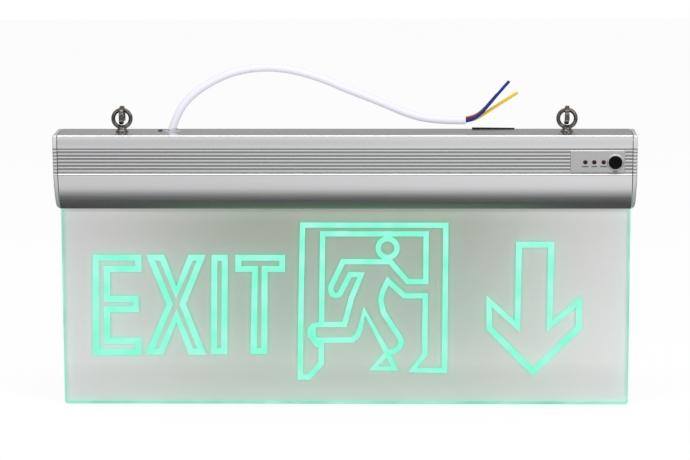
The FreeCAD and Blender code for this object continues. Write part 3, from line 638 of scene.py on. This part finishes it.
def turned(name, profile, material, steps=48, smooth=35):
    # solid of revolution about Z from (radius, height) pairs; it is closed at both ends
    vertices = []
    faces = []
    for i in range(steps):
        angle = 2 * math.pi * i / steps
        for radius, height in profile:
            vertices.append((radius * math.cos(angle), radius * math.sin(angle), height))
    count = len(profile)
    for i in range(steps):
        following = (i + 1) % steps
        for j in range(count - 1):
            faces.append((i * count + j, following * count + j, following * count + j + 1,
                          i * count + j + 1))
    piece = addMesh(name, vertices, faces, material)
    fixNormals(piece)
    shape = bmesh.new()
    shape.from_mesh(piece.data)
    bmesh.ops.dissolve_degenerate(shape, dist=1e-7, edges=shape.edges)
    bmesh.ops.holes_fill(shape, edges=shape.edges)
    bmesh.ops.recalc_face_normals(shape, faces=shape.faces)
    shape.to_mesh(piece.data)
    shape.free()
    shadeSmooth(piece, smooth)
    return piece


def place(piece, matrix):
    piece.data.transform(matrix)
    piece.data.update()
    return piece


def threePointArc(start, middle, end, steps):
    # points from start to end on the circle through the three, start left out
    (ax, ay), (bx, by), (cx, cy) = start, middle, end
    d = 2 * (ax * (by - cy) + bx * (cy - ay) + cx * (ay - by))
    a2, b2, c2 = ax * ax + ay * ay, bx * bx + by * by, cx * cx + cy * cy
    ux = (a2 * (by - cy) + b2 * (cy - ay) + c2 * (ay - by)) / d
    uy = (a2 * (cx - bx) + b2 * (ax - cx) + c2 * (bx - ax)) / d
    radius = math.hypot(ax - ux, ay - uy)
    first = math.atan2(ay - uy, ax - ux)
    last = math.atan2(cy - uy, cx - ux)
    via = math.atan2(by - uy, bx - ux)
    sweep = (last - first) % (2 * math.pi)
    if (via - first) % (2 * math.pi) > sweep:
        sweep -= 2 * math.pi
    return [(ux + radius * math.cos(first + sweep * i / steps),
             uy + radius * math.sin(first + sweep * i / steps)) for i in range(1, steps + 1)]


def repeatTree():
    # puts a copy of one template at every point of the base mesh
    tree = bpy.data.node_groups.new("repeatAtPoints", "GeometryNodeTree")
    face = tree.interface
    face.new_socket("Geometry", in_out="INPUT", socket_type="NodeSocketGeometry")
    face.new_socket("Template", in_out="INPUT", socket_type="NodeSocketObject")
    face.new_socket("Turn", in_out="INPUT", socket_type="NodeSocketVector")
    face.new_socket("Finish", in_out="INPUT", socket_type="NodeSocketMaterial")
    face.new_socket("Geometry", in_out="OUTPUT", socket_type="NodeSocketGeometry")
    kit = tree.nodes
    start = kit.new("NodeGroupInput")
    end = kit.new("NodeGroupOutput")
    info = kit.new("GeometryNodeObjectInfo")
    spread = kit.new("GeometryNodeInstanceOnPoints")
    real = kit.new("GeometryNodeRealizeInstances")
    coat = kit.new("GeometryNodeSetMaterial")
    links = tree.links
    links.new(start.outputs["Template"], info.inputs["Object"])
    links.new(start.outputs["Geometry"], spread.inputs["Points"])
    links.new(info.outputs["Geometry"], spread.inputs["Instance"])
    links.new(start.outputs["Turn"], spread.inputs["Rotation"])
    links.new(spread.outputs[0], real.inputs[0])
    links.new(real.outputs[0], coat.inputs["Geometry"])
    links.new(start.outputs["Finish"], coat.inputs["Material"])
    links.new(coat.outputs[0], end.inputs[0])
    return tree


def coilTree():
    # a round wire wound about Z: turns, radius, rise and wire thickness are its inputs
    tree = bpy.data.node_groups.new("woundWire", "GeometryNodeTree")
    face = tree.interface
    face.new_socket("Geometry", in_out="INPUT", socket_type="NodeSocketGeometry")
    for name in ("Turns", "Radius", "Rise", "Wire"):
        face.new_socket(name, in_out="INPUT", socket_type="NodeSocketFloat")
    face.new_socket("Finish", in_out="INPUT", socket_type="NodeSocketMaterial")
    face.new_socket("Geometry", in_out="OUTPUT", socket_type="NodeSocketGeometry")
    kit = tree.nodes
    start = kit.new("NodeGroupInput")
    end = kit.new("NodeGroupOutput")
    spiral = kit.new("GeometryNodeCurveSpiral")
    spiral.inputs["Resolution"].default_value = 72
    section = kit.new("GeometryNodeCurvePrimitiveCircle")
    section.inputs["Resolution"].default_value = 16
    sweep = kit.new("GeometryNodeCurveToMesh")
    sweep.inputs["Fill Caps"].default_value = True
    real = kit.new("GeometryNodeRealizeInstances")
    coat = kit.new("GeometryNodeSetMaterial")
    links = tree.links
    links.new(start.outputs["Turns"], spiral.inputs["Rotations"])
    links.new(start.outputs["Radius"], spiral.inputs["Start Radius"])
    links.new(start.outputs["Radius"], spiral.inputs["End Radius"])
    links.new(start.outputs["Rise"], spiral.inputs["Height"])
    links.new(start.outputs["Wire"], section.inputs["Radius"])
    links.new(spiral.outputs["Curve"], sweep.inputs["Curve"])
    links.new(section.outputs["Curve"], sweep.inputs["Profile Curve"])
    links.new(sweep.outputs[0], real.inputs[0])
    links.new(real.outputs[0], coat.inputs["Geometry"])
    links.new(start.outputs["Finish"], coat.inputs["Material"])
    links.new(coat.outputs[0], end.inputs[0])
    return tree


def grown(name, tree, points, inputs):
    # runs a node tree on the points and keeps the result as a plain mesh
    base = bpy.data.objects.new(name + "Base", bpy.data.meshes.new(name + "Base"))
    base.data.from_pydata(points, [], [])
    scene.collection.objects.link(base)
    modifier = base.modifiers.new("grow", "NODES")
    modifier.node_group = tree
    for item in tree.interface.items_tree:
        if item.in_out == "INPUT" and item.name in inputs:
            modifier[item.identifier] = inputs[item.name]
    bpy.context.view_layer.update()
    evaluated = base.evaluated_get(bpy.context.evaluated_depsgraph_get())
    mesh = bpy.data.meshes.new_from_object(evaluated)
    base.modifiers.remove(modifier)
    bpy.data.objects.remove(base)
    piece = bpy.data.objects.new(name, mesh)
    scene.collection.objects.link(piece)
    return piece


repeatAtPoints = repeatTree()
woundWire = coilTree()


leanAngle = math.atan2(shell["lean"], shell["ribbed"])
downFace = Vector((0, math.sin(leanAngle), -math.cos(leanAngle)))
outFace = Vector((0, -math.cos(leanAngle), -math.sin(leanAngle)))


def shellOutline(s, withSlot):
    # front half of the section as (y, z) points, from the top's middle to the middle below
    half, edge = s["halfDepth"], s["edge"]
    turn = edge * (1 - math.sqrt(0.5))
    line = [(0.0, 0.0), (-half + edge, 0.0)]
    line += threePointArc(line[-1], (-half + turn, -turn), (-half, -edge), 8)
    start = Vector((0, -half, -s["band"]))
    line.append((start.y, start.z))
    for i in range(s["grooves"]):
        near = start + downFace * (s["firstGroove"] + i * s["pitch"])
        far = near + downFace * s["width"]
        deep = (near + far) / 2 - outFace * s["depth"]
        line.append((near.y, near.z))
        line += threePointArc((near.y, near.z), (deep.y, deep.z), (far.y, far.z), 10)
    foot = (-half + s["lean"], -s["band"] - s["ribbed"])
    tip = (-s["mouth"] - s["lip"], -s["height"])
    last = Vector(line[-1])
    middle = (last + Vector(foot)) / 2 + Vector((outFace.y, outFace.z)) * s["footBead"]
    ledge = (foot[0] + 0.0002, foot[1] - 0.0008)
    line += threePointArc(tuple(last), (middle.x, middle.y), ledge, 12)
    line += threePointArc(ledge, s["nose"], tip, 36)
    if withSlot:
        line += [(-s["mouth"], -s["height"]), (-s["mouth"], s["ledge"]),
                 (-s["chamber"], s["ledge"]), (-s["chamber"], s["webUnder"]),
                 (0.0, s["webUnder"])]
    else:
        line.append((0.0, -s["height"]))
    return line


def closedSection(front):
    return front + [(-y, z) for y, z in reversed(front[1:-1])]


def extrudedAlongX(name, rings, material, smooth):
    # skins the sections, each given as (x, points), and closes both ends
    vertices = []
    faces = []
    count = len(rings[0][1])
    for x, section in rings:
        vertices += [(x, y, z) for y, z in section]
    for r in range(len(rings) - 1):
        for j in range(count):
            k = (j + 1) % count
            faces.append((r * count + j, r * count + k, (r + 1) * count + k,
                          (r + 1) * count + j))
    faces.append(tuple(range(count)))
    faces.append(tuple(reversed(range((len(rings) - 1) * count, len(rings) * count))))
    piece = addMesh(name, vertices, faces, material)
    fixNormals(piece)
    shadeSmooth(piece, smooth)
    return piece


def ribRow(s, mirror):
    # the low beads between the grooves, one strip repeated down the leaning face
    half = s["halfLength"] - s["seam"]
    width = s["pitch"] - s["width"]
    near = Vector((0, 0, 0))
    crest = downFace * (width / 2) + outFace * s["crest"]
    far = downFace * width
    arc = [(near.y, near.z)] + threePointArc((near.y, near.z), (crest.y, crest.z),
                                             (far.y, far.z), 8)
    template = extrudedAlongX("beadStrip", [(-half, arc), (half, arc)],
                              finishes["anodised_housing"], 40)
    first = Vector((0, -s["halfDepth"], -s["band"])) + downFace * (s["firstGroove"] + s["width"])
    points = [tuple(first + downFace * (i * s["pitch"])) for i in range(s["grooves"] - 1)]
    row = grown("beads", repeatAtPoints, points,
                {"Template": template, "Turn": (0, 0, 0),
                 "Finish": finishes["anodised_housing"]})
    bpy.data.objects.remove(template)
    if mirror:
        place(row, Matrix.Scale(-1, 4, (0, 1, 0)))
        fixNormals(row)
        shadeSmooth(row, 40)
    return row


bodyLength = shell["halfLength"] - shell["seam"]
shellSection = closedSection(shellOutline(shell, True))
shellBody = extrudedAlongX("shellBody", [(-bodyLength, shellSection),
                                         (bodyLength, shellSection)],
                           finishes["anodised_housing"], 32)
housingPiece = joined("housingShell", [shellBody, ribRow(shell, False), ribRow(shell, True)])
settle(housingPiece, "housing", "anodised_housing", "housing")
print("housing shaped")


cap = {"thickness": 0.003, "rings": ((0.0, 1.0), (0.0016, 1.0), (0.0022, 0.993),
                                     (0.0026, 0.980), (0.00285, 0.960), (0.003, 0.930)),
       "centreZ": -0.0265, "bendFrom": -0.027, "bend": 0.36, "power": 2.0, "corner": 0.0032,
       "headRadius": 0.0028, "headSink": 0.0012,
       "ports": ((-0.0145, -0.0041), (0.0145, -0.0041), (0.0, -0.0359))}


def endCap(hand, side, s):
    # moulded cap: the housing's section, rounded over towards its outer face
    section = closedSection(shellOutline(shell, False))
    rings = []
    for out, scale in s["rings"]:
        ring = [(y * scale, s["centreZ"] + (z - s["centreZ"]) * scale) for y, z in section]
        rings.append((side * (shell["halfLength"] + out), ring))
    piece = extrudedAlongX("capBlank", rings, finishes["end_cap_grey"], 40)
    # the outer face leans in towards the foot
    inner = shell["halfLength"]
    low = -shell["height"]
    for vertex in piece.data.vertices:
        t = min(max((s["bendFrom"] - vertex.co.z) / (s["bendFrom"] - low), 0), 1)
        d = s["corner"] - min(max(vertex.co.z - low, 0), s["corner"])
        rounding = s["corner"] - math.sqrt(s["corner"] ** 2 - d * d)
        lost = min(s["bend"] * t ** s["power"] + rounding / s["thickness"], 0.97)
        reach = abs(vertex.co.x) - inner
        vertex.co.x = side * (inner + reach * (1 - lost))
    cutters = []
    for y, z in s["ports"]:
        drill = turned("drill", [(0, -s["headSink"]), (s["headRadius"], -s["headSink"]),
                                 (s["headRadius"], 0.004), (0, 0.004)],
                       finishes["end_cap_grey"], 32)
        place(drill, Matrix.Translation((side * (inner + s["thickness"]), y, z))
              @ Matrix.Rotation(math.radians(90 * side), 4, "Y"))
        cutters.append(drill)
    drills = joined("drills", cutters)
    modifier = piece.modifiers.new("sinks", "BOOLEAN")
    modifier.object = drills
    modifier.solver = "EXACT"
    bpy.context.view_layer.update()
    evaluated = piece.evaluated_get(bpy.context.evaluated_depsgraph_get())
    mesh = bpy.data.meshes.new_from_object(evaluated)
    bpy.data.objects.remove(piece)
    bpy.data.objects.remove(drills)
    whole = bpy.data.objects.new("endCap_" + hand, mesh)
    scene.collection.objects.link(whole)
    shadeSmooth(whole, 40)
    return settle(whole, "housing", "end_cap_grey", "end_cap_" + hand)


for hand, side in (("left", -1), ("right", 1)):
    endCap(hand, side, cap)
    settle(cleanCopy("cap_screws_" + hand, "capScrews_" + hand, 32), "housing", "zinc_steel",
           "cap_screws_" + hand)
print("end caps fitted")


panel = {"halfLength": 0.1964, "taper": 0.0009, "footChamfer": 0.0010, "foot": -0.190,
         "top": -0.0426, "nearY": 0.0002, "farY": 0.0032, "corner": 0.0022, "chamfer": 0.0012,
         "filmMargin": 0.001, "filmHalf": 0.00012}


def panelOutline(inset, s, lift=0.0):
    # sheet outline with its two lower corners rounded, moved inwards by inset
    half, foot, top = s["halfLength"] - inset, s["foot"] + inset + lift, s["top"]
    radius = max(s["corner"] - inset, 0.0002)
    points = [(half, top)]
    for centre, first in (((half - radius, foot + radius), 0),
                          ((-half + radius, foot + radius), -90)):
        for i in range(7):
            angle = math.radians(first - 15 * i)
            points.append((centre[0] + radius * math.cos(angle),
                           centre[1] + radius * math.sin(angle)))
    points.append((-half, top))
    # the ends lean in a little towards the foot
    return [(x - math.copysign(s["taper"] * (top - z) / (top - foot), x), z)
            for x, z in points]


def signSheet(name, outerY, innerY, s):
    # clear sheet whose narrow edges and outer chamfer carry the strip's green light
    wide, narrow = panelOutline(0, s), panelOutline(s["chamfer"], s, s["footChamfer"])
    shoulder = outerY + math.copysign(s["chamfer"], innerY - outerY)
    count = len(wide)
    vertices = [(x, innerY, z) for x, z in wide]
    vertices += [(x, shoulder, z) for x, z in wide]
    vertices += [(x, outerY, z) for x, z in narrow]
    faces = [tuple(range(count)), tuple(reversed(range(2 * count, 3 * count)))]
    for layer in (0, 1):
        for j in range(count):
            k = (j + 1) % count
            faces.append((layer * count + j, layer * count + k, (layer + 1) * count + k,
                          (layer + 1) * count + j))
    piece = addMesh(name, vertices, faces, finishes["clear_acrylic"])
    piece.data.materials.append(edgeGlow)
    for polygon in piece.data.polygons[2:]:
        polygon.material_index = 1
    fixNormals(piece)
    return piece


settle(signSheet("frontSheet", -panel["farY"], -panel["nearY"], panel), "housing",
       "clear_acrylic", "front_sheet")
settle(signSheet("backSheet", panel["farY"], panel["nearY"], panel), "housing",
       "clear_acrylic", "back_sheet")


def filmSheet(s):
    wide = panelOutline(s["filmMargin"], s)
    count = len(wide)
    vertices = [(x, y, z) for y in (-s["filmHalf"], s["filmHalf"]) for x, z in wide]
    faces = [tuple(range(count)), tuple(reversed(range(count, 2 * count)))]
    for j in range(count):
        k = (j + 1) % count
        faces.append((j, k, count + k, count + j))
    piece = addMesh("silverFilm", vertices, faces, finishes["silver_film"])
    fixNormals(piece)
    return piece


settle(filmSheet(panel), "housing", "silver_film", "reflector_film")
print("sign panel made")


sign = {"letterLine": 4.05, "figureLine": 3.6, "arrowLine": 3.95, "letterTip": 0.47,
        "figureTip": 0.60, "proud": 0.15, "headRadius": 6.5}
letters = {
    "E": [(-174.6, -85.1), (-141.1, -85.1), (-141.1, -97.0), (-163.0, -97.0),
          (-163.0, -114.0), (-143.2, -114.0), (-143.2, -125.3), (-163.3, -125.3),
          (-163.5, -143.4), (-141.7, -143.4), (-141.7, -155.5), (-175.3, -155.5)],
    "X": [(-137.6, -85.1), (-125.2, -85.1), (-117.1, -107.3), (-108.3, -85.1),
          (-96.5, -85.1), (-110.6, -119.5), (-96.8, -155.1), (-108.7, -155.1),
          (-117.1, -132.0), (-126.7, -155.1), (-138.9, -155.1), (-123.9, -119.5)],
    "I": [(-92.4, -85.1), (-81.2, -85.1), (-82.2, -154.8), (-93.5, -154.8)],
    "T": [(-76.0, -85.1), (-41.6, -85.1), (-41.6, -97.0), (-53.8, -97.0), (-54.4, -154.7),
          (-65.9, -154.7), (-64.6, -97.0), (-76.0, -97.0)]}
arrowOutline = [(117.7, -75.9), (143.9, -75.9), (142.7, -131.2), (162.9, -113.4),
                (163.1, -136.8), (129.6, -169.8), (97.5, -137.2), (97.3, -113.4),
                (117.1, -131.2)]
# middle lines of the figure running through the door
figureLine = [
    (-17.0, -146.5), (-17.0, -161.3), (-25.7, -170.9), (-31.6, -170.9), (-30.7, -116.9),
    (-29.4, -64.3), (69.3, -64.4), (68.5, -166.0), (46.0, -166.0), (54.9, -154.6),
    (54.8, -137.9), (55.2, -113.6), (40.6, -113.6), (29.3, -103.2), (25.6, -110.8),
    (24.4, -117.0), (26.2, -125.4), (37.6, -143.0), (38.6, -145.6), (38.1, -148.2),
    (36.6, -150.5), (34.3, -152.3), (31.5, -152.9), (28.9, -154.0), (19.0, -164.7),
    (33.9, -164.7), (28.9, -154.0), (13.0, -124.4), (10.0, -137.2), (8.3, -141.6),
    (4.8, -144.6), (-19.0, -144.9), (-22.6, -144.0), (-24.2, -142.0), (-24.6, -139.4),
    (-24.0, -136.6), (-21.8, -134.4), (-18.6, -133.9), (-0.7, -133.8), (4.1, -115.3),
    (10.9, -98.9), (3.1, -98.9), (-3.0, -110.8), (-4.4, -112.9), (-6.7, -113.6),
    (-9.0, -112.5), (-10.2, -109.8), (-10.2, -107.6), (-1.7, -89.8), (31.0, -89.8),
    (42.9, -103.7), (55.5, -103.7), (55.7, -70.4), (-15.6, -70.4), (-16.6, -132.6)]
heelLine = [(-22.4, -136.4), (-22.6, -141.5), (-21.6, -145.6), (-19.6, -147.9),
            (-17.2, -148.4)]
headCentre = (29.2, -80.3)


def offsetLine(points, distance, closed, tip):
    # the line moved sideways; its corners are mitred, and cut short where they are sharp
    result = []
    count = len(points)
    for i in range(count):
        here = Vector(points[i])
        before = Vector(points[i - 1]) if closed or i else None
        after = Vector(points[(i + 1) % count]) if closed or i < count - 1 else None
        sides = []
        for a, b in ((before, here), (here, after)):
            if a is not None and b is not None and (b - a).length > 1e-9:
                run = (b - a).normalized()
                sides.append(Vector((-run.y, run.x)))
        if len(sides) == 1:
            result.append(here + sides[0] * distance)
            continue
        miter = (sides[0] + sides[1]).normalized()
        stretch = 1 / max(miter.dot(sides[0]), tip)
        result.append(here + miter * (distance * stretch))
    return result


def ribbon(outer, inner, closed, low, high):
    # raised band between two lines: vertices and faces of a closed thin solid
    vertices = []
    for y in (low, high):
        vertices += [(p.x * mm, y * mm, p.y * mm) for p in outer]
        vertices += [(p.x * mm, y * mm, p.y * mm) for p in inner]
    n = len(outer)
    faces = []
    for i in range(n if closed else n - 1):
        k = (i + 1) % n
        faces += [(i, k, n + k, n + i), (2 * n + i, 3 * n + i, 3 * n + k, 2 * n + k),
                  (i, 2 * n + i, 2 * n + k, k), (n + i, n + k, 3 * n + k, 3 * n + i)]
    if not closed:
        for i in (0, n - 1):
            faces.append((i, n + i, 3 * n + i, 2 * n + i))
    return vertices, faces


def signBands(mirror):
    # every lit line of the sign on one face; the rear face reads the right way round too
    flip = -1 if mirror else 1
    face = panel["farY"] / mm
    low, high = flip * (-face - sign["proud"]), flip * -face
    bands = []
    for outline in letters.values():
        bands.append((outline, sign["letterLine"], True, True))
    bands.append((arrowOutline, sign["arrowLine"], True, True))
    bands.append((figureLine, sign["figureLine"], False, False))
    bands.append((heelLine, sign["figureLine"], False, False))
    head = [(headCentre[0] + sign["headRadius"] * math.cos(math.radians(12 * i)),
             headCentre[1] - sign["headRadius"] * math.sin(math.radians(12 * i)))
            for i in range(30)]
    bands.append((head, sign["figureLine"], True, False))
    pieces = []
    for number, (line, width, closed, edgeGiven) in enumerate(bands):
        line = [(flip * x, z) for x, z in line]
        if edgeGiven:
            inside = offsetLine(line, -flip * width, closed, sign["letterTip"])
            outer, inner = [Vector(p) for p in line], inside
        else:
            outer = offsetLine(line, width / 2, closed, sign["figureTip"])
            inner = offsetLine(line, -width / 2, closed, sign["figureTip"])
        vertices, faces = ribbon(outer, inner, closed, low, high)
        piece = addMesh("band%d" % number, vertices, faces, signGlow)
        fixNormals(piece)
        pieces.append(piece)
    return joined("signLinesBack" if mirror else "signLinesFront", pieces)


for mirror in (False, True):
    settle(signBands(mirror), "housing", "clear_acrylic")
print("sign lines drawn")


# the right eyebolt stands 1.2 mm nearer the middle than the part's own
eye = {"x": {"left": -0.1535, "right": 0.1523}, "height": 0.0093, "radius": 0.0060,
       "wire": 0.00140, "flare": 0.0041, "neckSink": 0.4, "waist": 0.0031, "stem": 0.0028,
       "flange": 0.0045, "flangeHeight": 0.0008, "thread": 0.0025, "threadLength": 0.009}
ring = {"outer": 0.0065, "wire": 0.00065, "flatness": 1.65, "play": 0.0001, "turns": 1.94,
        "riseShare": 1.9, "gapTurn": 25}


def torus(name, radius, wire, around, across, material):
    vertices = []
    faces = []
    for i in range(around):
        a = 2 * math.pi * i / around
        for j in range(across):
            b = 2 * math.pi * j / across
            reach = radius + wire * math.cos(b)
            vertices.append((reach * math.cos(a), wire * math.sin(b), reach * math.sin(a)))
            faces.append((i * across + j, i * across + (j + 1) % across,
                          (i + 1) % around * across + (j + 1) % across,
                          (i + 1) % around * across + j))
    piece = addMesh(name, vertices, faces, material)
    fixNormals(piece)
    shadeSmooth(piece, 60)
    return piece


def eyebolt(hand, s):
    material = finishes["nickel_steel"]
    loop = place(torus("loop", s["radius"], s["wire"], 72, 24, material),
                 Matrix.Translation((0, 0, s["height"])))
    neckTop = s["height"] - s["radius"] + s["wire"] * s["neckSink"]
    waistZ = (s["flangeHeight"] + neckTop) / 2
    profile = [(0, -s["threadLength"]), (s["thread"] - 0.0004, -s["threadLength"]),
               (s["thread"], -s["threadLength"] + 0.0004), (s["thread"], 0),
               (s["flange"], 0), (s["flange"], s["flangeHeight"] - 0.0005)]
    profile += threePointArc(profile[-1], (s["flange"] - 0.00015, s["flangeHeight"] - 0.00015),
                             (s["flange"] - 0.0005, s["flangeHeight"]), 4)
    profile.append((s["flare"], s["flangeHeight"]))
    profile += threePointArc(profile[-1], (s["waist"], waistZ), (s["stem"], neckTop), 10)
    profile.append((0, neckTop))
    bolt = turned("bolt", profile, material)
    whole = joined("eyeBolt_" + hand, [loop, bolt])
    place(whole, Matrix.Translation((s["x"][hand], 0, 0)))
    return settle(whole, "housing", "nickel_steel", "eyebolt_" + hand)


def splitRing(hand, s):
    crown = eye["height"] + eye["radius"] + eye["wire"]
    centreZ = crown + s["play"] + 2 * s["wire"] - s["outer"]
    middle = s["outer"] - s["wire"]
    rise = s["riseShare"] * s["wire"]
    coil = grown("coil", woundWire, [(0, 0, 0)],
                 {"Turns": s["turns"], "Radius": middle, "Rise": rise, "Wire": s["wire"],
                  "Finish": finishes["nickel_steel"]})
    fixNormals(coil)
    shadeSmooth(coil, 50)
    coil.name = "splitRing_" + hand
    upright = (Matrix.Translation((eye["x"][hand] - s["flatness"] * rise / 2, 0, centreZ))
               @ Matrix.Scale(s["flatness"], 4, (1, 0, 0)))
    turnToX = (Matrix.Rotation(math.radians(90), 4, "Y")
               @ Matrix.Rotation(math.radians(s["gapTurn"]), 4, "Z"))
    place(coil, upright @ turnToX)
    return settle(coil, hand + "_ring", "nickel_steel", "split_ring_" + hand)


for hand in ("left", "right"):
    eyebolt(hand, eye)
    splitRing(hand, ring)
print("eyebolts and rings hung")


control = {"x": 0.17275, "z": -0.0182, "drop": 0.0102, "ledU": (-8.4, -2.3, 4.1), "ledV": -0.5,
           "ledRadius": 1.5, "ledProud": 1.2, "plateProud": 0.6, "buttonU": 12.1,
           "buttonV": -0.6, "buttonRadius": 4.65, "buttonProud": 2.2, "barsV": -3.6}
faceY = -shell["halfDepth"] + control["drop"] * shell["lean"] / shell["ribbed"]
controlFrame = (Matrix.Translation((control["x"], faceY, control["z"]))
                @ Matrix.Rotation(leanAngle, 4, "X"))
facing = Matrix.Rotation(math.radians(90), 4, "X")


def onControlFace(piece):
    return place(piece, controlFrame)


def statusLamps(s):
    # three domed lenses, one template repeated at their places
    radius = s["ledRadius"] * mm
    dome = s["ledProud"] * mm
    profile = [(0, -0.004), (radius, -0.004), (radius, dome * 0.45)]
    profile += threePointArc(profile[-1], (radius * 0.72, dome * 0.86), (0.00001, dome), 10)
    template = turned("lens", profile, finishes["red_led_lens"], 32, 60)
    place(template, facing)
    lenses = grown("statusLenses", repeatAtPoints,
                   [(u * mm, 0, s["ledV"] * mm) for u in s["ledU"]],
                   {"Template": template, "Turn": (0, 0, 0),
                    "Finish": finishes["red_led_lens"]})
    bpy.data.objects.remove(template)
    return onControlFace(lenses)


settle(cleanCopy("control_plate", "controlPlate", 28), "housing", "brushed_plate",
       "control_plate")
settle(statusLamps(control), "housing", "red_led_lens", "status_leds")


def legendBars(s):
    # plain little bars under the lenses and the button, in place of words
    bars = []
    low = -s["plateProud"] - 0.02
    for u, width in ((s["ledU"][0], 4.4), (s["ledU"][1], 4.0), (s["ledU"][2], 4.6),
                     (s["buttonU"], 3.4)):
        v = s["barsV"] if u < s["buttonU"] else s["buttonV"] - 6.7
        corners = [(u + a * width / 2, y, v + b * 0.4) for y in (low, low + 0.1)
                   for a, b in ((-1, -1), (1, -1), (1, 1), (-1, 1))]
        vertices = [tuple(c * mm for c in corner) for corner in corners]
        faces = [(0, 1, 2, 3), (7, 6, 5, 4), (0, 4, 5, 1), (1, 5, 6, 2), (2, 6, 7, 3),
                 (3, 7, 4, 0)]
        bar = addMesh("bar", vertices, faces, legendGrey)
        fixNormals(bar)
        bars.append(bar)
    return onControlFace(joined("legendBars", bars))


settle(legendBars(control), "housing", "black_plastic")


def pushButton(s):
    radius, proud = s["buttonRadius"] * mm, s["buttonProud"] * mm
    profile = [(0, -0.0009), (radius, -0.0009), (radius, proud - 0.0007)]
    profile += threePointArc(profile[-1], (radius - 0.0002, proud - 0.0002),
                             (radius - 0.0007, proud), 6)
    profile += threePointArc(profile[-1], (radius * 0.5, proud - 0.00022),
                             (0.00001, proud - 0.0003), 8)
    button = place(turned("testButton", profile, finishes["black_button"], 64, 50), facing)
    place(button, Matrix.Translation((s["buttonU"] * mm, 0, s["buttonV"] * mm)))
    return onControlFace(button)


stemCut = 0.00089  # the plain button is kept behind this depth only
inner = cleanCopy("test_button", "buttonStem", 30)
cut = bmesh.new()
cut.from_mesh(inner.data)
bmesh.ops.transform(cut, matrix=controlFrame.inverted(), verts=cut.verts)
bmesh.ops.bisect_plane(cut, geom=cut.verts[:] + cut.edges[:] + cut.faces[:],
                       plane_co=(0, stemCut, 0), plane_no=(0, -1, 0), clear_outer=True)
bmesh.ops.holes_fill(cut, edges=cut.edges)
bmesh.ops.transform(cut, matrix=controlFrame, verts=cut.verts)
cut.to_mesh(inner.data)
cut.free()
testButton = joined("testButton", [pushButton(control), inner])
settle(testButton, "test_button", "black_button", "test_button")
print("control plate fitted")


# copies of the part's pieces, pressed down; the plug is also moved and made longer
topPieces = {"glandHeight": 0.5, "glandWidth": 0.9, "plugHeight": 0.6, "plugMove": -0.0032,
             "plugStretch": 1.06}


def lowered(piece, height, width=1.0):
    # only what stands above the housing's top is pressed down and drawn in
    mesh = piece.data
    middle = sum((Vector(v.co) for v in mesh.vertices), Vector()) / len(mesh.vertices)
    for vertex in mesh.vertices:
        if vertex.co.z > 0:
            vertex.co.z *= height
            vertex.co.x = middle.x + (vertex.co.x - middle.x) * width
            vertex.co.y = middle.y + (vertex.co.y - middle.y) * width
    return piece


gland = lowered(cleanCopy("cable_gland", "cableGland", 40), topPieces["glandHeight"],
                topPieces["glandWidth"])
settle(gland, "housing", "grey_nylon", "cable_gland")
settle(cleanCopy("case_screw", "caseScrew", 35), "housing", "dark_steel", "case_screw")
plug = cleanCopy("blanking_plug", "blankingPlug", 35)
plugMiddle = sum(corner[0] for corner in plug.bound_box) / 8
place(plug, Matrix.Translation((plugMiddle + topPieces["plugMove"], 0, 0))
      @ Matrix.Scale(topPieces["plugStretch"], 4, (1, 0, 0))
      @ Matrix.Translation((-plugMiddle, 0, 0)))
settle(lowered(plug, topPieces["plugHeight"]), "housing", "black_plastic", "blanking_plug")
print("gland, screw and plug fitted")


settle(supplyCable, "housing", "white_sheath", "supply_cable")
for coreName, (coreLength, route) in coreRoutes.items():
    core = coreCurves[coreName]
    settle(core, "housing", coreName.replace("_core", "_insulation"), coreName)

bpy.context.view_layer.update()
